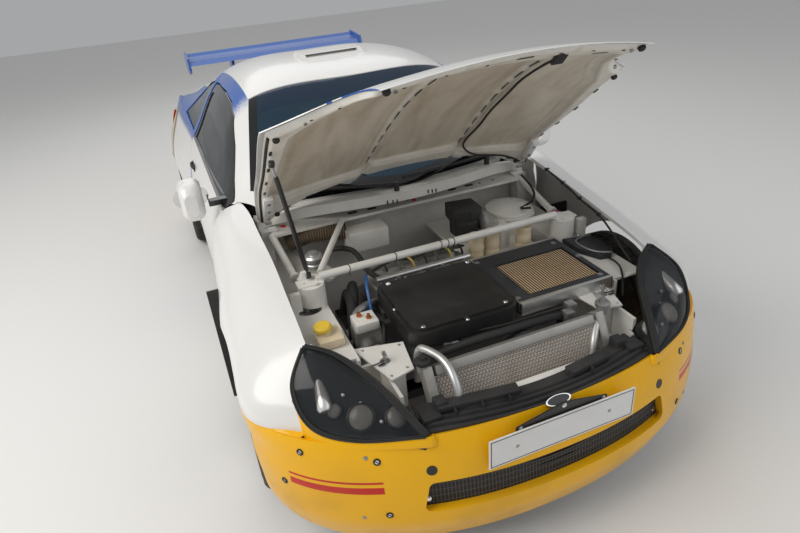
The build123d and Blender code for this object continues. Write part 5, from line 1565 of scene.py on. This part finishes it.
pipes = {"radius": 0.013, "routes": [
    [(1.596, -0.318, 0.540), (1.596, -0.318, 0.680), (1.650, -0.290, 0.690), (1.722, -0.264, 0.684),
     (1.790, -0.264, 0.640), (1.806, -0.266, 0.580), (1.806, -0.266, 0.540)],
    [(1.770, 0.262, 0.520), (1.761, 0.265, 0.580), (1.728, 0.296, 0.620), (1.691, 0.334, 0.655),
     (1.654, 0.387, 0.668), (1.600, 0.408, 0.650), (1.500, 0.408, 0.622)]]}


def makePipes():
    bm = bmesh.new()
    for route in pipes["routes"]:
        line = routeLine(route)
        addTube(bm, line, pipes["radius"], 0, 20)
        for a, b in (line[3:5], line[-5:-3]):
            addTube(bm, [a, a.lerp(b, 0.9)], pipes["radius"] * 1.22, 1, 20)
    keep("radiator_pipes_bent", bm, [pipeAlloy, steel], "body", ["radiator_pipes"])


# Catch plates: washers, pins and clips on the white plates beside the lamps

catches = {"z": 0.656, "pins": [(1.592, -0.424), (1.600, 0.425)],
           "rivets": [(1.505, 0.470), (1.532, 0.350), (1.655, 0.372), (1.672, 0.432)]}


def makeCatches():
    bm = bmesh.new()
    z = catches["z"]
    for x, y in catches["pins"]:
        side = 1 if y > 0 else -1
        addLathe(bm, [(0.017, 0), (0.017, 0.0018), (0.0055, 0.0018), (0.0055, 0.034), (0.0035, 0.040),
                      (0, 0.040)], (x, y, z), sides=20)
        addTube(bm, [(x + 0.020 * math.cos(a), y + 0.006 * math.sin(a), z + 0.026)
                     for a in (math.tau * k / 14 for k in range(13))], 0.0014, 0, 6)
        strap = [(x + dx, y + side * dy, z + dz) for dx, dy, dz in (
            (0.003, 0.006, 0.006), (0.012, 0.020, 0.010), (0.010, 0.038, 0.006), (0.004, 0.046, 0.002))]
        addTube(bm, routeLine(strap), 0.0022, 1, 8)
        clipY = y + side * 0.020
        addBox(bm, (x + 0.016, clipY - 0.010, z + 0.004), (x + 0.023, clipY + 0.014, z + 0.008), 1, None,
               0.002)
    keep("catch_pins", bm, [steel, blackPaintAndHoleShade])
    rivets = [((x, side * y, z), (0, 0, 1)) for side in (1, -1) for x, y in catches["rivets"]]
    addFasteners("catch_plate_rivets", rivets, "body", alloy, 0.0035, 0.0014, 10, 0.005)


makeHeadlamps()
makeGrillePanel()
makePlate()
makeMouth()
makeBumperFasteners()
makeRadiator()
makePipes()
makeCatches()
print("nose made")

# Bonnet hinges and the gas stay

hinge = {"y": 0.598, "shutEnd": (0.728, 0.838), "box": (0.812, 0.930), "foot": (0.790, 0.744), "shelf": 0.816,
         "shelfFrom": 0.722, "shelfTo": 0.762}
stay = {"top": (1.2451, -0.615, 1.2605), "foot": (1.162, -0.545, 0.796), "rod": 0.0040, "tube": 0.0086}


def makeHinges():
    moving, fixed = bmesh.new(), bmesh.new()
    turn, out = openTurn(), panelDown()
    endX, endZ = hinge["shutEnd"]
    footX, footZ = hinge["foot"]
    shelf = hinge["shelf"]
    for side in (1, -1):
        y = side * hinge["y"]
        a, b = [panelPoint(x, y, 0.008) for x in hinge["box"]]
        addBar(moving, a, b, (0.019, 0.011), 0, 0.003)
        end = turn @ Vector((endX, y, endZ))
        addBar(moving, a, end, (0.010, 0.0022), 0, 0.001)
        addLathe(moving, [(0, -0.013), (0.0065, -0.013), (0.0065, 0.013), (0, 0.013)], end, (0, 1, 0), 16, 1)
        for share in (0.25, 0.75):
            addLathe(moving, [(0.0075, 0), (0.0075, 0.006), (0, 0.006)], a.lerp(b, share) + out * 0.010,
                     out, 6, 1)
        within = y - side * 0.014
        addBar(fixed, (end.x - 0.002, within, shelf + 0.009), (footX, within, footZ), (0.009, 0.0016), 0,
               0.001)
        addBar(fixed, (hinge["shelfFrom"], within, shelf + 0.003), (hinge["shelfTo"], within, shelf + 0.003),
               (0.018, 0.004), 0, 0.002)
    keep("bonnet_hinge_arms", moving, [bodyWhite, steel], "bonnet")
    keep("bonnet_hinge_bases", fixed, [bodyWhite, steel])


def makeStay():  # thin rod, black tube and an eye at each end; its foot stands by the bracket on the tower
    top, foot = Vector(stay["top"]), Vector(stay["foot"])
    along = (foot - top).normalized()
    length = (foot - top).length
    rod, tube = stay["rod"], stay["tube"]
    bm = bmesh.new()
    addLathe(bm, [(0, 0), (rod, 0.001), (rod, length * 0.10)], top, along, 14, 1)
    addLathe(bm, [(rod, length * 0.098), (tube * 0.8, length * 0.102), (tube, length * 0.115),
                  (tube, length * 0.93), (tube * 0.7, length * 0.945), (rod, length * 0.95),
                  (rod, length - 0.006)], top, along,
             20, 0)
    pin = (0.25, -1, 0.3)
    for place in (top, foot):
        addLathe(bm, [(0.0045, -0.006), (0.0125, -0.006), (0.0125, 0.006), (0.0045, 0.006)], place, pin, 22,
                 0)
        addLathe(bm, [(0, -0.008), (0.0048, -0.008), (0.0048, 0.010), (0, 0.010)], place, pin, 12, 1)
    keep("stay_gas_strut", bm, [blackPaintAndHoleShade, steel], "stay", ["bonnet_stay"])
    bm = bmesh.new()
    corners = ((-1, -1), (1, -1), (1, 1), (-1, 1))
    rows = [[(foot.x - 0.016 + dx * w, foot.y - 0.012 + dy * w, foot.z + dz) for dx, dy in corners]
            for w, dz in ((0.026, -0.026), (0.017, -0.012), (0.010, 0.010))]
    addLoft(bm, rows)
    keep("stay_foot_bracket", bm, bayWhite)


# Scuttle: black plates of painted shade at the slots and meshed holes, and red plugs, at the places where the
# photograph shows them

scuttleSpots = {
    "slots": [(387.5, 202.4), (393, 201.8), (397.2, 201.2), (428.1, 191.5), (432.2, 191.0), (435.9, 190.3)],
    "holes": [(352.4, 212.7), (371.8, 208.5), (452.1, 189.5), (468.7, 185.3)],
    "rounds": [(407.5, 200.0), (479.5, 183.2), (492.8, 179.9)], "plugs": [(283.3, 226.7), (414.0, 200.3)],
}


def makeScuttleDetails():
    surface = surfaceOf("scuttle_panel", "bulkhead")
    places = {name: [seat(surface, photo["eye"], photoRay(spot)) for spot in spots]
              for name, spots in scuttleSpots.items()}
    bm = bmesh.new()
    for name, along, length, width in (("slots", (0.5, 0, 1), 0.018, 0.006),
                                       ("holes", (0, 1, 0), 0.044, 0.020),
                                       ("rounds", (0, 1, 0), 0.012, 0.0118)):
        for place, facing in places[name]:
            addStadium(bm, place, Vector(along), facing, length, width)
    # the black plates are painted shade for the dark seen through the holes
    keep("scuttle_holes", bm, blackPaintAndHoleShade)
    bm = bmesh.new()
    for place, facing in places["plugs"]:
        addLathe(bm, [(0.0105, -0.001), (0.0105, 0.003), (0.007, 0.006), (0, 0.007)], place, facing, 20)
    plugRed = dirtied("plugRed", (0.60, 0.012, 0.012), amount=0.1, scale=40, rough=0.35)
    keep("scuttle_plugs", bm, plugRed)


wingCable = [(0.900, 0.650, 0.872), (1.071, 0.646, 0.846), (1.180, 0.640, 0.818), (1.282, 0.646, 0.800),
             (1.400, 0.628, 0.760), (1.480, 0.606, 0.734), (1.548, 0.590, 0.722)]


def makeWingCable():
    bm = bmesh.new()
    line = routeLine(wingCable)
    addTube(bm, line, 0.0042, 0, 8)
    clips = evenly(line, 0.13)
    for a, b in zip(clips[:-1], clips[1:]):
        ahead = (b - a).normalized()
        addTube(bm, [a - ahead * 0.006, a + ahead * 0.006], 0.0068, 0, 10)
        addBar(bm, a, a + Vector((0, 0.014, 0.004)), (0.005, 0.002), 0)
    keep("wing_cable", bm, rubber)


# Wheels: tyre with a blocky tread, wheel nuts, cap and valve

wheels = {"front_left": (1.190, 1), "front_right": (1.190, -1), "rear_left": (-1.256, 1),
          "rear_right": (-1.256, -1)}
wheel = {"y": 0.782, "z": 0.305, "radius": 0.305, "groove": 0.007, "steps": 192, "nutRing": 0.054,
         "face": 0.061, "valveRing": 0.200}
sidewall = [(0.224, 0.079), (0.236, 0.093), (0.250, 0.0965), (0.252, 0.0985), (0.256, 0.0985),
            (0.258, 0.0965),
            (0.280, 0.0970), (0.289, 0.0935), (0.300, 0.085)]  # radius, half width
blocks = [(0.076, 0.046), (0.037, 0.005), (-0.005, -0.037), (-0.046, -0.076)]
tyreRubber = dirtied("tyreRubber", (0.020, 0.020, 0.020), (0.20, 0.16, 0.115), 0.22, 12, 0.75, 0.10, 0.15)


def tyreRing(k):  # one slice of the tyre; every fourth slice of a block is a groove
    radius, groove = wheel["radius"], wheel["groove"]
    ring = list(sidewall)
    for n, (left, right) in enumerate(blocks):
        cut = groove * 0.8 if (k + 2 * (n % 2)) % 4 == 0 else 0
        shoulder = 0.001 if n in (0, 3) else 0
        ring += [(radius - cut - shoulder, left), (radius - cut - shoulder, right)]
        if n < 3:
            ring += [(radius - groove, right - 0.002), (radius - groove, blocks[n + 1][0] + 0.002)]
    return ring + [(r, -w) for r, w in sidewall[::-1]] + [(0.215, -0.070), (0.215, 0.070)]


def makeWheels():
    face = wheel["face"]
    for name, (x, side) in wheels.items():
        hub = Vector((x, side * wheel["y"], wheel["z"]))
        bm = bmesh.new()
        rows = []
        for k in range(wheel["steps"] + 1):
            a = math.tau * k / wheel["steps"]
            out = Vector((math.cos(a), 0, math.sin(a)))
            rows.append([hub + out * r + Vector((0, w, 0)) for r, w in tyreRing(k % wheel["steps"])])
        addSkin(bm, rows, 0, True)
        bmesh.ops.remove_doubles(bm, verts=bm.verts, dist=1e-5)
        keep("tyre_tread_" + name, bm, tyreRubber, "wheel_" + name, ["tyre_" + name], sharp=30)
        out = Vector((0, side, 0))
        spots = [Vector((math.cos(a), 0, math.sin(a))) for a in (math.tau * (k + 0.5) / 4 for k in range(4))]
        nuts = [(hub + spot * wheel["nutRing"] + out * (face - 0.004), out) for spot in spots]
        addFasteners("wheel_nuts_" + name, nuts, "wheel_" + name, steel, 0.0095, 0.020, 6, 0.0125)
        bm = bmesh.new()
        addLathe(bm, [(0.0298, face - 0.016), (0.0298, face - 0.003), (0.026, face), (0.012, face - 0.002),
                      (0, face - 0.002)], hub, out, 28)
        valve = hub + Vector((0.70, 0, 0.714)) * wheel["valveRing"]
        addLathe(bm, [(0.005, 0.055), (0.005, 0.078), (0.004, 0.084), (0, 0.084)], valve, out, 10)
        keep("wheel_cap_" + name, bm, blackPlastic, "wheel_" + name)


# Door handles, locks and mirror glasses

doorFittings = {"handle": (-0.405, 0.795), "lock": (-0.530, 0.764), "mirror": (0.4542, 0.865, 0.925)}


def makeDoorFittings():
    for side, name in ((1, "left"), (-1, "right")):
        surface = surfaceOf("door_" + name)
        body = "door_" + name
        x, z = doorFittings["handle"]
        place, facing = seat(surface, (x, side * 2, z), (0, -side, 0))
        bm = bmesh.new()
        addStadium(bm, place, Vector((1, 0, 0.04)), facing, 0.150, 0.040, 0.0016)
        bow = ((-0.062, 0.002), (-0.050, 0.012), (0.050, 0.012), (0.062, 0.002))
        addTube(bm, routeLine([place + Vector((dx, 0, 0.004)) + facing * out for dx, out in bow]), 0.006, 0,
                10)
        x, z = doorFittings["lock"]
        place, facing = seat(surface, (x, side * 2, z), (0, -side, 0))
        addLathe(bm, [(0.011, -0.001), (0.011, 0.002), (0.009, 0.003), (0, 0.003)], place, facing, 18)
        keep("door_handle_" + name, bm, blackPlastic, body)
        bm = bmesh.new()
        mx, my, mz = doorFittings["mirror"]
        addStadium(bm, Vector((mx, side * my, mz)), Vector((0, 1, 0)), Vector((-1, 0, 0)), 0.150, 0.078)
        keep("mirror_glass_" + name, bm, chrome, body)


makeHinges()
makeStay()
makeScuttleDetails()
makeWingCable()
makeWheels()
makeDoorFittings()
print("body details made")

placeCamera()
setStudio()
